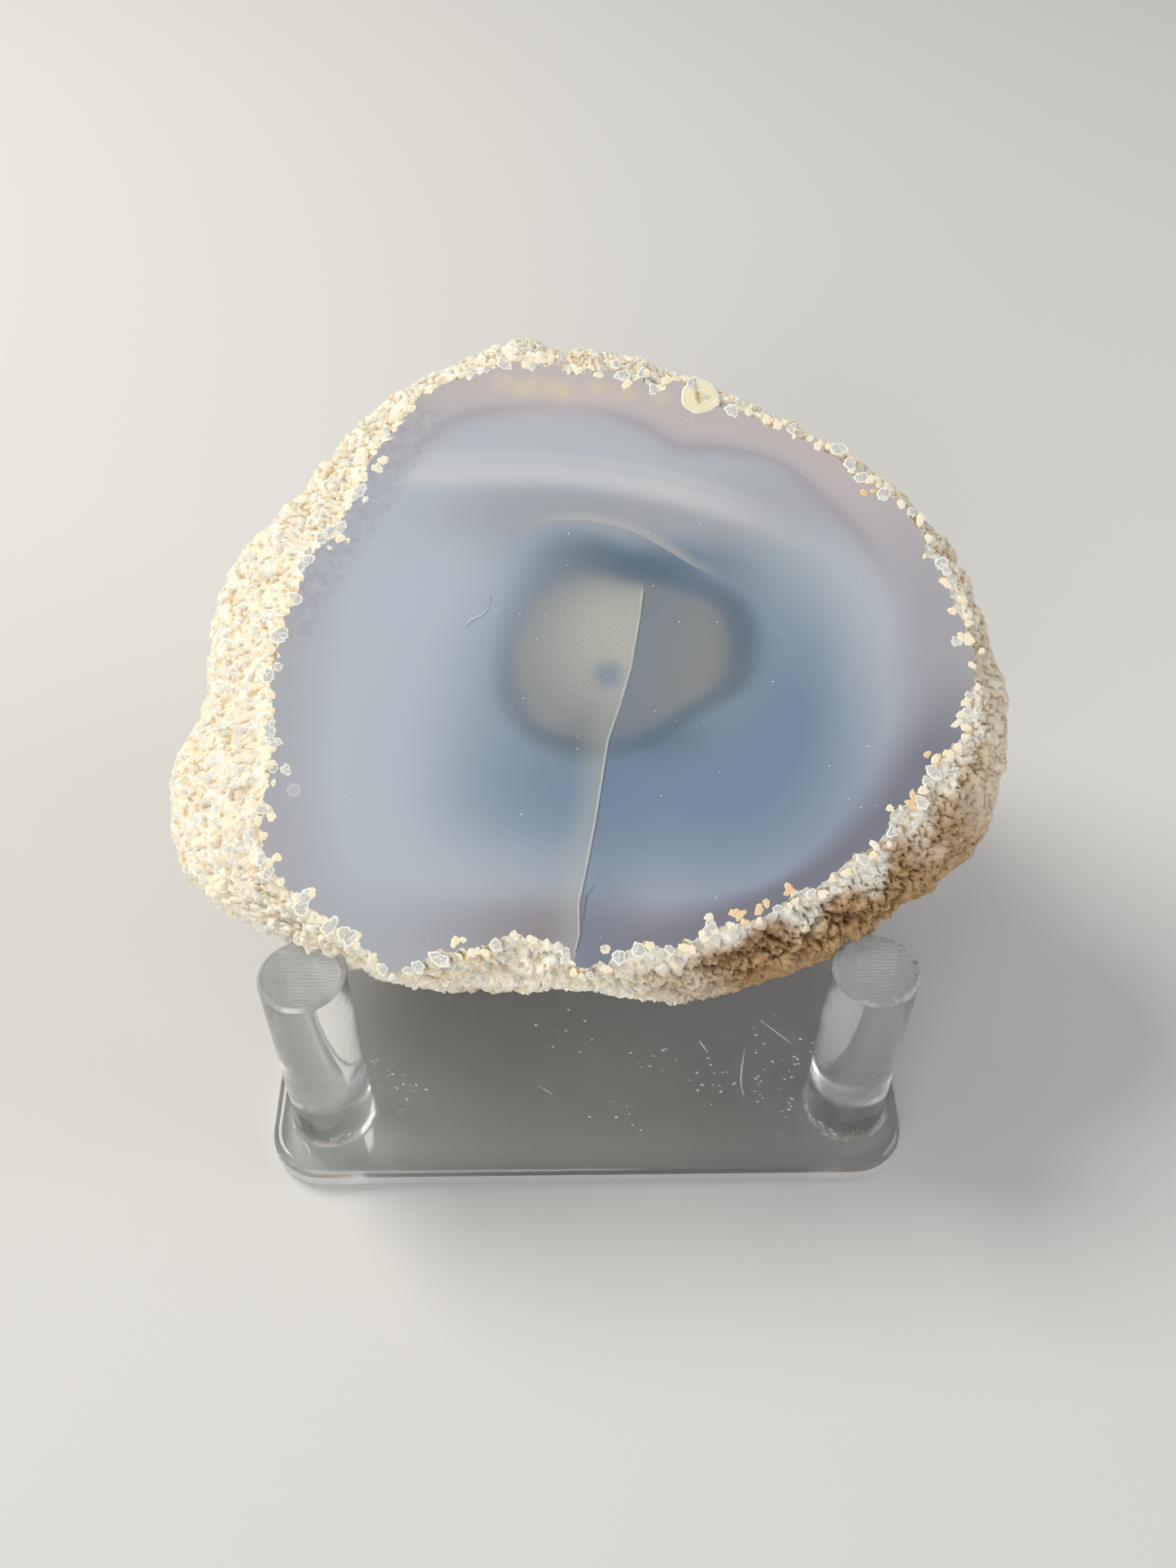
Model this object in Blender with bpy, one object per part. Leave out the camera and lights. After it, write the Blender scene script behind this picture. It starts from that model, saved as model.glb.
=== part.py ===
# Half of a Brazilian agate nodule, sawn and polished, resting on a clear acrylic peg stand.
# The origin is the middle of the plate's underside. +X is the viewer's right, +Y runs away
# from the viewer and +Z is up. Lengths are metres.
import bisect
import math

import bmesh
import bpy
from mathutils import Euler, Matrix, Vector, noise

MM = 0.001

# The plate
PLATE_WIDTH = 101.6 * MM
PLATE_DEPTH = 101.6 * MM
PLATE_THICKNESS = 4.2 * MM
PLATE_CORNER_RADIUS = 8.5 * MM
PLATE_CORNER_STEPS = 8
PLATE_TOP_ROUND = 1.5 * MM
PLATE_UNDER_ROUND = 0.5 * MM

# The pegs: sawn rod, chamfered at the top and cemented on the plate
PEG_DIAMETER = 12.7 * MM
PEG_LENGTH = 38.1 * MM
PEG_CHAMFER = 1.0 * MM
PEG_FOOT_ROUND = 0.3 * MM
PEG_SIDES = 40
PEG_LEFT_X = -41.1 * MM
PEG_RIGHT_X = 41.7 * MM
PEG_FRONT_INSET = 11.3 * MM
PEG_REAR_INSET = 11.3 * MM
CEMENT_GAP = 0.3 * MM
PEG_SIDE_ALLOWANCE = 1.2 * MM
PEG_TOP_ALLOWANCE = 1.6 * MM

# The stone. Its own frame has the polished face at z = 0 and the rind below it.
FACE_TILT = math.radians(30)
FACE_CENTRE = Vector((5.0, 2.7, 69.6)) * MM
STONE_DEPTH = 47 * MM
STONE_LEAN = -2.5 * MM
STONE_FULLNESS = 2.85
FLANK_SHARE = 0.16
GRID_HALF = 17

# Edge of the polished face, in millimetres from the face's centre, anticlockwise from the right
FACE_EDGE = [
    (52.5, -1.5), (51.5, 7.5), (48.5, 14), (44, 20.5), (38, 26), (31, 30.5), (24.5, 33.5),
    (12, 38), (-1.5, 41.5), (-14.5, 43), (-24.5, 42.5), (-30, 39.5), (-35.5, 31.5), (-39.5, 25),
    (-41, 17.5), (-47.5, 10.5), (-50.5, 1), (-51, -9), (-51, -19.5), (-51, -28), (-50.5, -36.5),
    (-42.5, -43.5), (-35.5, -48), (-29.5, -48.5), (-19, -45.5), (-7.5, -47), (0, -48.5),
    (10, -46.5), (16.5, -43), (24.5, -39), (35, -33), (41.5, -27.5), (46.5, -21), (51.5, -14),
]

# Widest line of the nodule: x, y and the depth under the face at which it runs
GIRTH_LINE = [
    (57.5, 0, 6), (55, 6, 5.5), (53, 12, 5), (49.5, 18, 5), (43.5, 24.5, 5), (36, 31, 5),
    (31, 34.5, 5), (25, 38, 5), (19, 41, 5), (13.5, 44, 5), (6, 45.5, 5), (-7, 48.5, 5),
    (-14, 50, 5), (-25, 46.5, 5), (-32.5, 42, 5), (-39, 36, 5), (-44, 31, 5), (-46.5, 26.5, 5),
    (-52, 20, 6), (-59.5, 14, 9), (-63, 7, 12), (-64, 0, 13), (-65, -8, 13), (-68, -17, 13),
    (-68.5, -25, 13), (-66, -32, 11), (-59.5, -39.5, 7), (-50.5, -44, 4), (-42.5, -47, 3),
    (-36.5, -50, 3), (-30.5, -52, 4), (-19.5, -51.5, 5), (-7.5, -52, 5), (4.5, -54.5, 5),
    (11.5, -54.5, 5), (22.5, -50, 4.5), (34, -45, 3.5), (40.5, -42, 4), (48, -37, 5),
    (55, -30, 7), (58.5, -19, 8), (59, -9, 8),
]

# Rind: broad swells, knobs, crystal points and their facets (size across, height) in millimetres,
# and the teeth that they cut into the edge of the polished face
SWELL = (22, 1.5)
KNOB = (9, 1.0)
POINT = (5.2, 1.8)
FACET = (2.1, 1.3)
TOOTH = (3.2, 1.6)
RIND_CLEARANCE = 0.5 * MM

# Where the rind meets a peg it is drawn in towards this point in small steps
STONE_MIDDLE = Vector((0, 0, -15)) * MM
CLEARING_STEP = 0.1 * MM
CLEARING_LIMIT = 60


def polar_ring(points):
    """Angle, radius and depth of each point, sorted by angle."""
    ring = []
    for point in points:
        depth = point[2] if len(point) == 3 else 0.0
        angle = math.atan2(point[1], point[0]) % math.tau
        ring.append((angle, math.hypot(point[0], point[1]) * MM, depth * MM))
    return sorted(ring)


def ring_at(ring, angle):
    """Radius and depth at an angle, on a smooth closed curve through the ring's points."""
    count = len(ring)
    after = bisect.bisect([entry[0] for entry in ring], angle)
    near = []
    for step in (-2, -1, 0, 1):
        turn, index = divmod(after + step, count)
        near.append((ring[index][0] + turn * math.tau, ring[index][1], ring[index][2]))
    start, end = near[1], near[2]
    span = end[0] - start[0]
    share = (angle - start[0]) / span
    values = []
    for axis in (1, 2):
        leave = (end[axis] - near[0][axis]) / (end[0] - near[0][0]) * span
        arrive = (near[3][axis] - start[axis]) / (near[3][0] - start[0]) * span
        squared, cubed = share ** 2, share ** 3
        values.append((2 * cubed - 3 * squared + 1) * start[axis]
                      + (cubed - 2 * squared + share) * leave
                      + (3 * squared - 2 * cubed) * end[axis]
                      + (cubed - squared) * arrive)
    return values


def smooth_stone_point(direction, face_ring, girth_ring):
    """Place on the bare nodule for a direction on the lower half of a unit sphere."""
    angle = math.atan2(direction.y, direction.x) % math.tau
    latitude = math.asin(max(-1.0, min(1.0, -direction.z))) / (math.pi / 2)
    face_radius = ring_at(face_ring, angle)[0]
    girth_radius, girth_depth = ring_at(girth_ring, angle)
    if latitude < FLANK_SHARE:
        turn = latitude / FLANK_SHARE
        radius = face_radius + (girth_radius - face_radius) * math.sin(turn * math.pi / 2)
        depth = girth_depth * turn
    else:
        turn = (latitude - FLANK_SHARE) / (1 - FLANK_SHARE) * math.pi / 2
        radius = girth_radius * max(0.0, math.cos(turn)) ** (2 / STONE_FULLNESS)
        depth = girth_depth + (STONE_DEPTH - girth_depth) * math.sin(turn) ** (2 / STONE_FULLNESS)
    lean = STONE_LEAN * (depth / STONE_DEPTH) ** 2
    return Vector((radius * math.cos(angle) + lean, radius * math.sin(angle), -depth))


def rind_height(place):
    """How far the rind stands out of the bare nodule at a place."""
    point = place / MM
    height = SWELL[1] * noise.noise(point / SWELL[0])
    height += KNOB[1] * noise.noise(point / KNOB[0])
    height += POINT[1] * (0.45 - noise.voronoi(point / POINT[0])[0][0])
    height += FACET[1] * noise.noise(point / FACET[0])
    return height * MM


def clear_of_pegs(place, stone_frame, peg_axes):
    """Draws a point of the rind that a peg would touch in towards the stone's middle."""
    reach = PEG_DIAMETER / 2 + PEG_SIDE_ALLOWANCE
    ceiling = PLATE_THICKNESS + CEMENT_GAP + PEG_LENGTH + PEG_TOP_ALLOWANCE
    inward = (STONE_MIDDLE - place).normalized() * CLEARING_STEP
    for _ in range(CLEARING_LIMIT):
        world = stone_frame @ place
        touching = world.z < ceiling and any(
            math.hypot(world.x - axis_x, world.y - axis_y) < reach for axis_x, axis_y in peg_axes)
        if not touching:
            break
        place = place + inward
    return place


def make_material(name, colour, roughness, transmission=0.0, refraction=1.5):
    material = bpy.data.materials.new(name)
    material.use_nodes = True
    shader = material.node_tree.nodes["Principled BSDF"]
    shader.inputs["Base Color"].default_value = (*colour, 1.0)
    shader.inputs["Roughness"].default_value = roughness
    shader.inputs["Metallic"].default_value = 0.0
    shader.inputs["Transmission Weight"].default_value = transmission
    shader.inputs["IOR"].default_value = refraction
    return material


def add_object(name, mesh, materials, location=(0, 0, 0)):
    for material in materials:
        if mesh.materials.find(material.name) < 0:
            mesh.materials.append(material)
    item = bpy.data.objects.new(name, mesh)
    item.location = location
    bpy.context.scene.collection.objects.link(item)
    return item


def finish_mesh(bm, name, smooth_angle):
    bmesh.ops.recalc_face_normals(bm, faces=bm.faces)
    mesh = bpy.data.meshes.new(name)
    bm.to_mesh(mesh)
    bm.free()
    mesh.shade_smooth()
    mesh.set_sharp_from_angle(angle=smooth_angle)
    return mesh


def build_plate(material):
    bm = bmesh.new()
    outline = []
    for corner, (side_x, side_y) in enumerate(((1, 1), (-1, 1), (-1, -1), (1, -1))):
        centre_x = side_x * (PLATE_WIDTH / 2 - PLATE_CORNER_RADIUS)
        centre_y = side_y * (PLATE_DEPTH / 2 - PLATE_CORNER_RADIUS)
        for step in range(PLATE_CORNER_STEPS + 1):
            angle = (corner + step / PLATE_CORNER_STEPS) * math.pi / 2
            outline.append(bm.verts.new((centre_x + PLATE_CORNER_RADIUS * math.cos(angle),
                                         centre_y + PLATE_CORNER_RADIUS * math.sin(angle), 0)))
    under = bm.faces.new(outline)
    raised = bmesh.ops.extrude_face_region(bm, geom=[under])["geom"]
    top_verts = [part for part in raised if isinstance(part, bmesh.types.BMVert)]
    bmesh.ops.translate(bm, verts=top_verts, vec=(0, 0, PLATE_THICKNESS))
    for level, width, steps in ((PLATE_THICKNESS, PLATE_TOP_ROUND, 4), (0, PLATE_UNDER_ROUND, 2)):
        edges = [edge for edge in bm.edges
                 if all(abs(vert.co.z - level) < 1e-6 for vert in edge.verts)]
        bmesh.ops.bevel(bm, geom=edges, offset=width, segments=steps, profile=0.5,
                        affect="EDGES", offset_type="OFFSET")
    mesh = finish_mesh(bm, "stand_base", math.radians(40))
    return add_object("stand_base", mesh, [material])


def peg_places():
    """Name and axis of each peg."""
    rows = (("front", -PLATE_DEPTH / 2 + PEG_FRONT_INSET), ("rear", PLATE_DEPTH / 2 - PEG_REAR_INSET))
    columns = (("left", PEG_LEFT_X), ("right", PEG_RIGHT_X))
    return {f"peg_{row}_{column}": (x, y) for row, y in rows for column, x in columns}


def build_pegs(material):
    bm = bmesh.new()
    bmesh.ops.create_cone(bm, cap_ends=True, segments=PEG_SIDES, radius1=PEG_DIAMETER / 2,
                          radius2=PEG_DIAMETER / 2, depth=PEG_LENGTH)
    bmesh.ops.translate(bm, verts=bm.verts, vec=(0, 0, PEG_LENGTH / 2))
    for level, width in ((PEG_LENGTH, PEG_CHAMFER), (0, PEG_FOOT_ROUND)):
        edges = [edge for edge in bm.edges
                 if all(abs(vert.co.z - level) < 1e-6 for vert in edge.verts)]
        bmesh.ops.bevel(bm, geom=edges, offset=width, segments=1, affect="EDGES")
    mesh = finish_mesh(bm, "peg", math.radians(30))
    foot = PLATE_THICKNESS + CEMENT_GAP
    return [add_object(name, mesh, [material], (*axis, foot))
            for name, axis in peg_places().items()]


def build_stone(face_material, rind_material):
    face_ring, girth_ring = polar_ring(FACE_EDGE), polar_ring(GIRTH_LINE)
    bm = bmesh.new()
    bmesh.ops.create_cube(bm, size=2)
    bmesh.ops.subdivide_edges(bm, edges=bm.edges, cuts=2 * GRID_HALF - 1, use_grid_fill=True)
    above = [vert for vert in bm.verts if vert.co.z > 0.01 / GRID_HALF]
    bmesh.ops.delete(bm, geom=above, context="VERTS")
    for vert in bm.verts:
        spread = Vector([math.tan(value * math.pi / 4) for value in vert.co])
        vert.co = smooth_stone_point(spread.normalized(), face_ring, girth_ring)
    rim = [edge for edge in bm.edges if edge.is_boundary]
    rim_verts = {vert for edge in rim for vert in edge.verts}
    bmesh.ops.recalc_face_normals(bm, faces=bm.faces)
    bm.normal_update()
    outward = {vert: vert.normal.copy() for vert in bm.verts}
    stone_frame = Matrix.LocRotScale(FACE_CENTRE, Euler((FACE_TILT, 0, 0)), None)
    peg_axes = peg_places().values()
    for vert, normal in outward.items():
        place = vert.co.copy()
        if vert in rim_verts:
            normal.z = 0
            tooth = TOOTH[1] * MM * noise.noise(place / MM / TOOTH[0])
            vert.co = place + normal.normalized() * (rind_height(place) * 0.5 + tooth)
            vert.co.z = 0
        else:
            vert.co = place + normal * rind_height(place)
            vert.co.z = min(vert.co.z, -RIND_CLEARANCE)
            vert.co = clear_of_pegs(vert.co, stone_frame, peg_axes)
    face = bmesh.ops.contextual_create(bm, geom=rim)["faces"][0]
    face.material_index = 0
    for other in bm.faces:
        if other is not face:
            other.material_index = 1
    mesh = finish_mesh(bm, "agate_nodule", math.radians(35))
    stone = add_object("agate_nodule", mesh, [face_material, rind_material], FACE_CENTRE)
    stone.rotation_euler.x = FACE_TILT
    return stone


def main():
    for item in list(bpy.data.objects):
        bpy.data.objects.remove(item)
    clear_acrylic = make_material("clear_acrylic", (0.96, 0.97, 0.97), 0.04, 1.0, 1.49)
    polished_agate = make_material("polished_agate", (0.36, 0.42, 0.50), 0.08, 0.0, 1.54)
    drusy_rind = make_material("drusy_rind", (0.72, 0.64, 0.50), 0.7, 0.0, 1.54)
    build_plate(clear_acrylic)
    build_pegs(clear_acrylic)
    build_stone(polished_agate, drusy_rind)


main()
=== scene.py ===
# Half of a Brazilian agate nodule, sawn and polished, on a clear acrylic peg stand.
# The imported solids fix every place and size. Lengths in the dictionaries are millimetres.
import math

import bmesh
import bpy
import numpy as np
from mathutils import Euler, Matrix, Vector, geometry, noise


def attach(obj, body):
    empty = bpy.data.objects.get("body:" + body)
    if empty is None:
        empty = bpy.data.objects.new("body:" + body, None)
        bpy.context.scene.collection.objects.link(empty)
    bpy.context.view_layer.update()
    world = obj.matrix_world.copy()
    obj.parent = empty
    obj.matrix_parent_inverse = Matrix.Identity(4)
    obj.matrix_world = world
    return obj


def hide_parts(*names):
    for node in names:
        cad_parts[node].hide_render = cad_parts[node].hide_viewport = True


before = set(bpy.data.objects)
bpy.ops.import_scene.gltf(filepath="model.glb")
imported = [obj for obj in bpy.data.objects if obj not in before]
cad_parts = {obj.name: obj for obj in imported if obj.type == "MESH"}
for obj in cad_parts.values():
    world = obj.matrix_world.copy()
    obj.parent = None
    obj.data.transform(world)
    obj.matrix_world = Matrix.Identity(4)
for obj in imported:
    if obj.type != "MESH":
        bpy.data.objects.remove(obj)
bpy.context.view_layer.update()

mm = 0.001
mixFactor, mixA, mixB, mixResult = 0, 6, 7, 2  # sockets of the Mix node when it mixes colours


def linearColour(hexValue):
    channels = [int(hexValue[start:start + 2], 16) / 255 for start in (1, 3, 5)]
    return (*[c / 12.92 if c <= 0.04045 else ((c + 0.055) / 1.055) ** 2.4 for c in channels], 1.0)


def perMetre(size):  # texture scale for a feature of this size in millimetres
    return 1000 / size


def setSockets(tree, node, given):  # a plain value, or a link where the value is a node's output
    for socket, value in given.items() if isinstance(given, dict) else enumerate(given):
        if isinstance(value, bpy.types.NodeSocket):
            tree.links.new(value, node.inputs[socket])
        else:
            node.inputs[socket].default_value = value


def addNode(tree, kind, given, output=0, **settings):  # gives back the output that is used
    node = tree.nodes.new("ShaderNode" + kind)
    for name, value in settings.items():
        if name == "stops":  # colour ramp: position and colour
            elements = node.color_ramp.elements
            while len(elements) < len(value):
                elements.new(1)
            for element, (position, colour) in zip(elements, value):
                element.position = position
                element.color = linearColour(colour)
        else:
            setattr(node, name, value)
    setSockets(tree, node, given)
    return node.outputs[output]


def newMaterial(name):
    material = bpy.data.materials.new(name)
    material.use_nodes = True
    return material, material.node_tree, material.node_tree.nodes["Principled BSDF"]


def showPiece(name, mesh, materials, slot="", replaced=()):
    for material in materials:
        mesh.materials.append(material)
    piece = bpy.data.objects.new(name, mesh)
    bpy.context.scene.collection.objects.link(piece)
    if slot:
        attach(piece, "root")
    if replaced:
        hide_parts(*replaced)
    return piece


def meshFrom(name, vertices, faces):
    mesh = bpy.data.meshes.new(name)
    mesh.from_pydata(np.asarray(vertices).tolist(), [], faces if isinstance(faces, list) else faces.tolist())
    mesh.validate()
    mesh.shade_smooth()
    return mesh


def storeValues(mesh, values):  # one float for each vertex under each name
    for name, numbers in values.items():
        mesh.attributes.new(name, "FLOAT", "POINT").data.foreach_set("value", np.asarray(numbers, np.float32))


def storePlace(mesh, points):  # place in the stone's own frame, for the textures
    attribute = mesh.attributes.new("stonePlace", "FLOAT_VECTOR", "POINT")
    attribute.data.foreach_set("vector", np.asarray(points * mm, np.float32).ravel())


def softStep(value, low, high):
    share = np.clip((value - low) / (high - low), 0, 1)
    return share * share * (3 - 2 * share)


# Camera and studio
view = {
    "eye": (-1.48, -160.66, 217.06),
    "forward": (0.0087, 0.6699, -0.7424),
    "up": (0.0087, 0.7423, 0.6700),
    "lens": 33.67,
    "nearest": 10,  # nothing closer to the camera is drawn
}

studio = {
    "lights": [  # name, place, size, watts, colour
        ("keyWindow", (-560, 330, 720), 520, 7.1, "#fffaf0"),
        ("frontFill", (-320, -950, 330), 800, 6.1, "#f8f8fc"),
        ("rightFill", (900, -100, 420), 700, 3.3, "#f6f8ff"),
    ],
    "aim": (0, 0, 45),
    "worldColour": "#eceef1",
    "worldStrength": 0.35,
    "floorSize": 6000,
    "floorDrop": 0.02,
    "floorColour": "#d4d3d0",
    "floorRoughness": 0.8,
}


def buildStudio():
    forward, up = Vector(view["forward"]).normalized(), Vector(view["up"]).normalized()
    right = forward.cross(up).normalized()
    up = right.cross(forward)
    camera = bpy.data.objects.new("camera", bpy.data.cameras.new("camera"))
    turn = Matrix((right, up, -forward)).transposed()
    camera.matrix_world = Matrix.LocRotScale(Vector(view["eye"]) * mm, turn, None)
    camera.data.lens = view["lens"]
    camera.data.clip_start = view["nearest"] * mm
    bpy.context.scene.collection.objects.link(camera)
    bpy.context.scene.camera = camera

    for name, place, size, watts, colour in studio["lights"]:
        data = bpy.data.lights.new(name, "AREA")
        data.shape = "DISK"
        data.size = size * mm
        data.energy = watts
        data.color = linearColour(colour)[:3]
        light = bpy.data.objects.new(name, data)
        light.location = Vector(place) * mm
        aim = Vector(studio["aim"]) * mm - light.location
        light.rotation_euler = aim.to_track_quat("-Z", "Y").to_euler()
        bpy.context.scene.collection.objects.link(light)

    world = bpy.data.worlds.new("softStudio")
    world.use_nodes = True
    backdrop = world.node_tree.nodes["Background"]
    backdrop.inputs["Color"].default_value = linearColour(studio["worldColour"])
    backdrop.inputs["Strength"].default_value = studio["worldStrength"]
    bpy.context.scene.world = world
    bpy.context.scene.view_settings.view_transform = "Standard"

    # Pale matt card: an even ground that takes soft shadows
    material, tree, shader = newMaterial("paleMattCard")
    setSockets(tree, shader, {"Base Color": linearColour(studio["floorColour"]),
                              "Roughness": studio["floorRoughness"]})
    half, level = studio["floorSize"] / 2 * mm, -studio["floorDrop"] * mm
    corners = [(-half, -half, level), (half, -half, level), (half, half, level), (-half, half, level)]
    floor = showPiece("studioFloor", meshFrom("studioFloor", corners, [(0, 1, 2, 3)]), [material])
    print("studio ready")


# The nodule. Its own frame has the polished face at z = 0 and the rind below it.
nodule = {
    "faceTilt": 30,  # degrees from level
    "faceCentre": (5.0, 2.7, 69.6),
    "depth": 47,
    "lean": -2.5,
    "fullness": 2.85,
    "flankShare": 0.16,
    "gridHalf": 75,
    "fineLatitude": 38,  # degrees below the face that have the finer mesh
    "swell": (22, 1.5),  # size across and height of each kind of relief
    "knob": (9, 1.0),
    "point": (5.2, 1.3),
    "facet": (2.1, 0.45),
    "clearance": 0.12,
    "calmRim": (1.6, 0.75),  # depth by which the relief is whole again, and how much of it the cut takes
    "rimOut": 0.35,
    "rimLobes": [(1.3, 0.6, 1.7), (0.6, 0.5, 0.8)],  # size, reach and height of the bites in the rim
    "sharpAngle": 38,
}

# Edge of the polished face, from the face's centre, anticlockwise from the right
faceEdge = [
    (52.5, -1.5), (51.5, 7.5), (48.5, 14), (44, 20.5), (38, 26), (31, 30.5), (24.5, 33.5),
    (12, 38), (-1.5, 41.5), (-14.5, 43), (-24.5, 42.5), (-30, 39.5), (-35.5, 31.5), (-39.5, 25),
    (-41, 17.5), (-47.5, 10.5), (-50.5, 1), (-51, -9), (-51, -19.5), (-51, -28), (-50.5, -36.5),
    (-42.5, -43.5), (-35.5, -48), (-29.5, -48.5), (-19, -45.5), (-7.5, -47), (0, -48.5),
    (10, -46.5), (16.5, -43), (24.5, -39), (35, -33), (41.5, -27.5), (46.5, -21), (51.5, -14),
]

# The same edge tooth by tooth, where the crystals of the rind meet the polish
rimLine = [
    (52.5, -5.5), (53, -3), (52, -2), (51.5, 1.5), (50.5, 3), (50.5, 5), (49, 8), (49, 9.5), (47, 12),
    (46.5, 14.5), (45, 17), (44.5, 18.5), (43, 21), (41, 21.5), (39.5, 23), (37, 23.5), (35.5, 26),
    (33.5, 28), (32, 29.5), (30.5, 31), (29.5, 30.5), (28, 31), (26.5, 33.5), (24.5, 32.3), (22, 34),
    (20, 35), (18.5, 36), (17, 36), (15, 36.2), (13.5, 37.5), (12, 39.3), (10.5, 40.5), (8.5, 41),
    (7.5, 39), (6, 39.5), (4.5, 41.5), (2, 40.5), (0.5, 42.5), (-1, 42.5), (-2.5, 41.5), (-4, 43),
    (-5, 42), (-7, 42), (-9, 43.5), (-11, 43.5), (-13, 43), (-15, 44), (-19, 43), (-23, 41.5),
    (-27, 40), (-30, 38), (-33, 33.5), (-36.5, 29), (-38.5, 24.5), (-40, 20.5), (-42.5, 16),
    (-45.5, 13), (-47, 10), (-47.5, 6.5), (-49.5, 3), (-50.5, -2), (-51, -7.5), (-50.5, -12.5),
    (-50.5, -18), (-51.5, -24), (-52, -28), (-51.5, -32), (-49, -36.5), (-46, -39.5), (-41.5, -42.5),
    (-39.5, -44.5), (-36, -47), (-33, -50), (-30, -49), (-26.5, -47), (-23.5, -47), (-20.5, -47),
    (-18, -45.3), (-15.5, -44.8), (-12, -45.3), (-8, -46.5), (-6.5, -49.5), (-4.5, -49.5), (-2, -49),
    (0.5, -47), (3.5, -46.3), (7, -46.8), (10.7, -45.5), (13, -44), (17, -43.3), (20.5, -42.3),
    (23.3, -40.7), (24.5, -38.7), (27.5, -38.5), (30.5, -36.5), (32.5, -34.5), (36.5, -32.5),
    (39, -29.5), (39.3, -27), (43, -26), (44, -23.5), (46, -20), (49, -17.7), (50.5, -16.5),
    (51, -15), (51, -12.5), (52, -10.5), (52.5, -8),
]

# Widest line of the nodule: x, y and the depth under the face at which it runs
girthLine = [
    (57.5, 0, 6), (55, 6, 5.5), (53, 12, 5), (49.5, 18, 5), (43.5, 24.5, 5), (36, 31, 5),
    (31, 34.5, 5), (25, 38, 5), (19, 41, 5), (13.5, 44, 5), (6, 45.5, 5), (-7, 48.5, 5),
    (-14, 50, 5), (-25, 46.5, 5), (-32.5, 42, 5), (-39, 36, 5), (-44, 31, 5), (-46.5, 26.5, 5),
    (-52, 20, 6), (-59.5, 14, 9), (-63, 7, 12), (-64, 0, 13), (-65, -8, 13), (-68, -17, 13),
    (-68.5, -25, 13), (-66, -32, 11), (-59.5, -39.5, 7), (-50.5, -44, 4), (-42.5, -47, 3),
    (-36.5, -50, 3), (-30.5, -52, 4), (-19.5, -51.5, 5), (-7.5, -52, 5), (4.5, -54.5, 5),
    (11.5, -54.5, 5), (22.5, -50, 4.5), (34, -45, 3.5), (40.5, -42, 4), (48, -37, 5),
    (55, -30, 7), (58.5, -19, 8), (59, -9, 8),
]

stand = {
    "plate": (101.6, 101.6, 4.2),  # width, depth, thickness
    "cornerRadius": 8.5,
    "cornerSteps": 24,
    "topRound": (1.5, 8),  # radius and number of steps
    "underRound": (0.5, 3),
    "pegDiameter": 12.7,
    "pegLength": 38.1,
    "pegColumns": {"left": -41.1, "right": 41.7},
    "pegInset": 11.3,
    "cementGap": 0.3,
    "pegSides": 96,
}

pegGap = {"side": 0.35, "top": 0.4, "middle": (0, 0, -15), "step": 0.1, "limit": 90}


def stoneMatrix():
    return Matrix.LocRotScale(Vector(nodule["faceCentre"]) * mm,
                              Euler((math.radians(nodule["faceTilt"]), 0, 0)), None)


def polarRing(points, centre=(0, 0)):  # angle, radius and depth, sorted by angle
    table = np.array([(*point[:2], point[2] if len(point) == 3 else 0) for point in points], float)
    x, y = table[:, 0] - centre[0], table[:, 1] - centre[1]
    ring = np.stack([np.arctan2(y, x) % math.tau, np.hypot(x, y), table[:, 2]], 1)
    return ring[np.argsort(ring[:, 0])]


def ringAt(ring, angles):  # radius and depth on a smooth closed curve through the ring's points
    after = np.searchsorted(ring[:, 0], angles, side="right")
    near = []
    for step in (-2, -1, 0, 1):
        turn, index = np.divmod(after + step, len(ring))
        near.append(np.column_stack([ring[index, 0] + turn * math.tau, ring[index, 1:]]))
    before, start, end, beyond = near
    span = end[:, 0] - start[:, 0]
    share = ((angles - start[:, 0]) / span)[:, None]
    leave = (end[:, 1:] - before[:, 1:]) / (end[:, :1] - before[:, :1]) * span[:, None]
    arrive = (beyond[:, 1:] - start[:, 1:]) / (beyond[:, :1] - start[:, :1]) * span[:, None]
    squared, cubed = share ** 2, share ** 3
    return ((2 * cubed - 3 * squared + 1) * start[:, 1:] + (cubed - 2 * squared + share) * leave
            + (3 * squared - 2 * cubed) * end[:, 1:] + (cubed - squared) * arrive)


def bareNodule(directions):  # places for directions on the lower half of a unit sphere
    angle = np.arctan2(directions[:, 1], directions[:, 0]) % math.tau
    latitude = np.arcsin(np.clip(-directions[:, 2], -1, 1)) / (math.pi / 2)
    faceRadius = ringAt(polarRing(faceEdge), angle)[:, 0]
    girthRadius, girthDepth = ringAt(polarRing(girthLine), angle).T
    flank, power = nodule["flankShare"], 2 / nodule["fullness"]
    rise = np.clip(latitude / flank, 0, 1)
    teeth = polarRing(rimLine)
    toothRadius = np.interp(angle, teeth[:, 0], teeth[:, 1], period=math.tau)
    faceRadius = faceRadius + (toothRadius - faceRadius) * (1 - softStep(rise, 0.0, 0.6))
    turn = np.clip((latitude - flank) / (1 - flank), 0, 1) * math.pi / 2
    onFlank = latitude < flank
    radius = np.where(onFlank, faceRadius + (girthRadius - faceRadius) * np.sin(rise * math.pi / 2),
                      girthRadius * np.maximum(0, np.cos(turn)) ** power)
    depth = np.where(onFlank, girthDepth * rise,
                     girthDepth + (nodule["depth"] - girthDepth) * np.sin(turn) ** power)
    lean = nodule["lean"] * (depth / nodule["depth"]) ** 2
    return np.column_stack([radius * np.cos(angle) + lean, radius * np.sin(angle), -depth])


def noiseAt(points, size):
    return np.array([noise.noise(place) for place in (points / size).tolist()])


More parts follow.
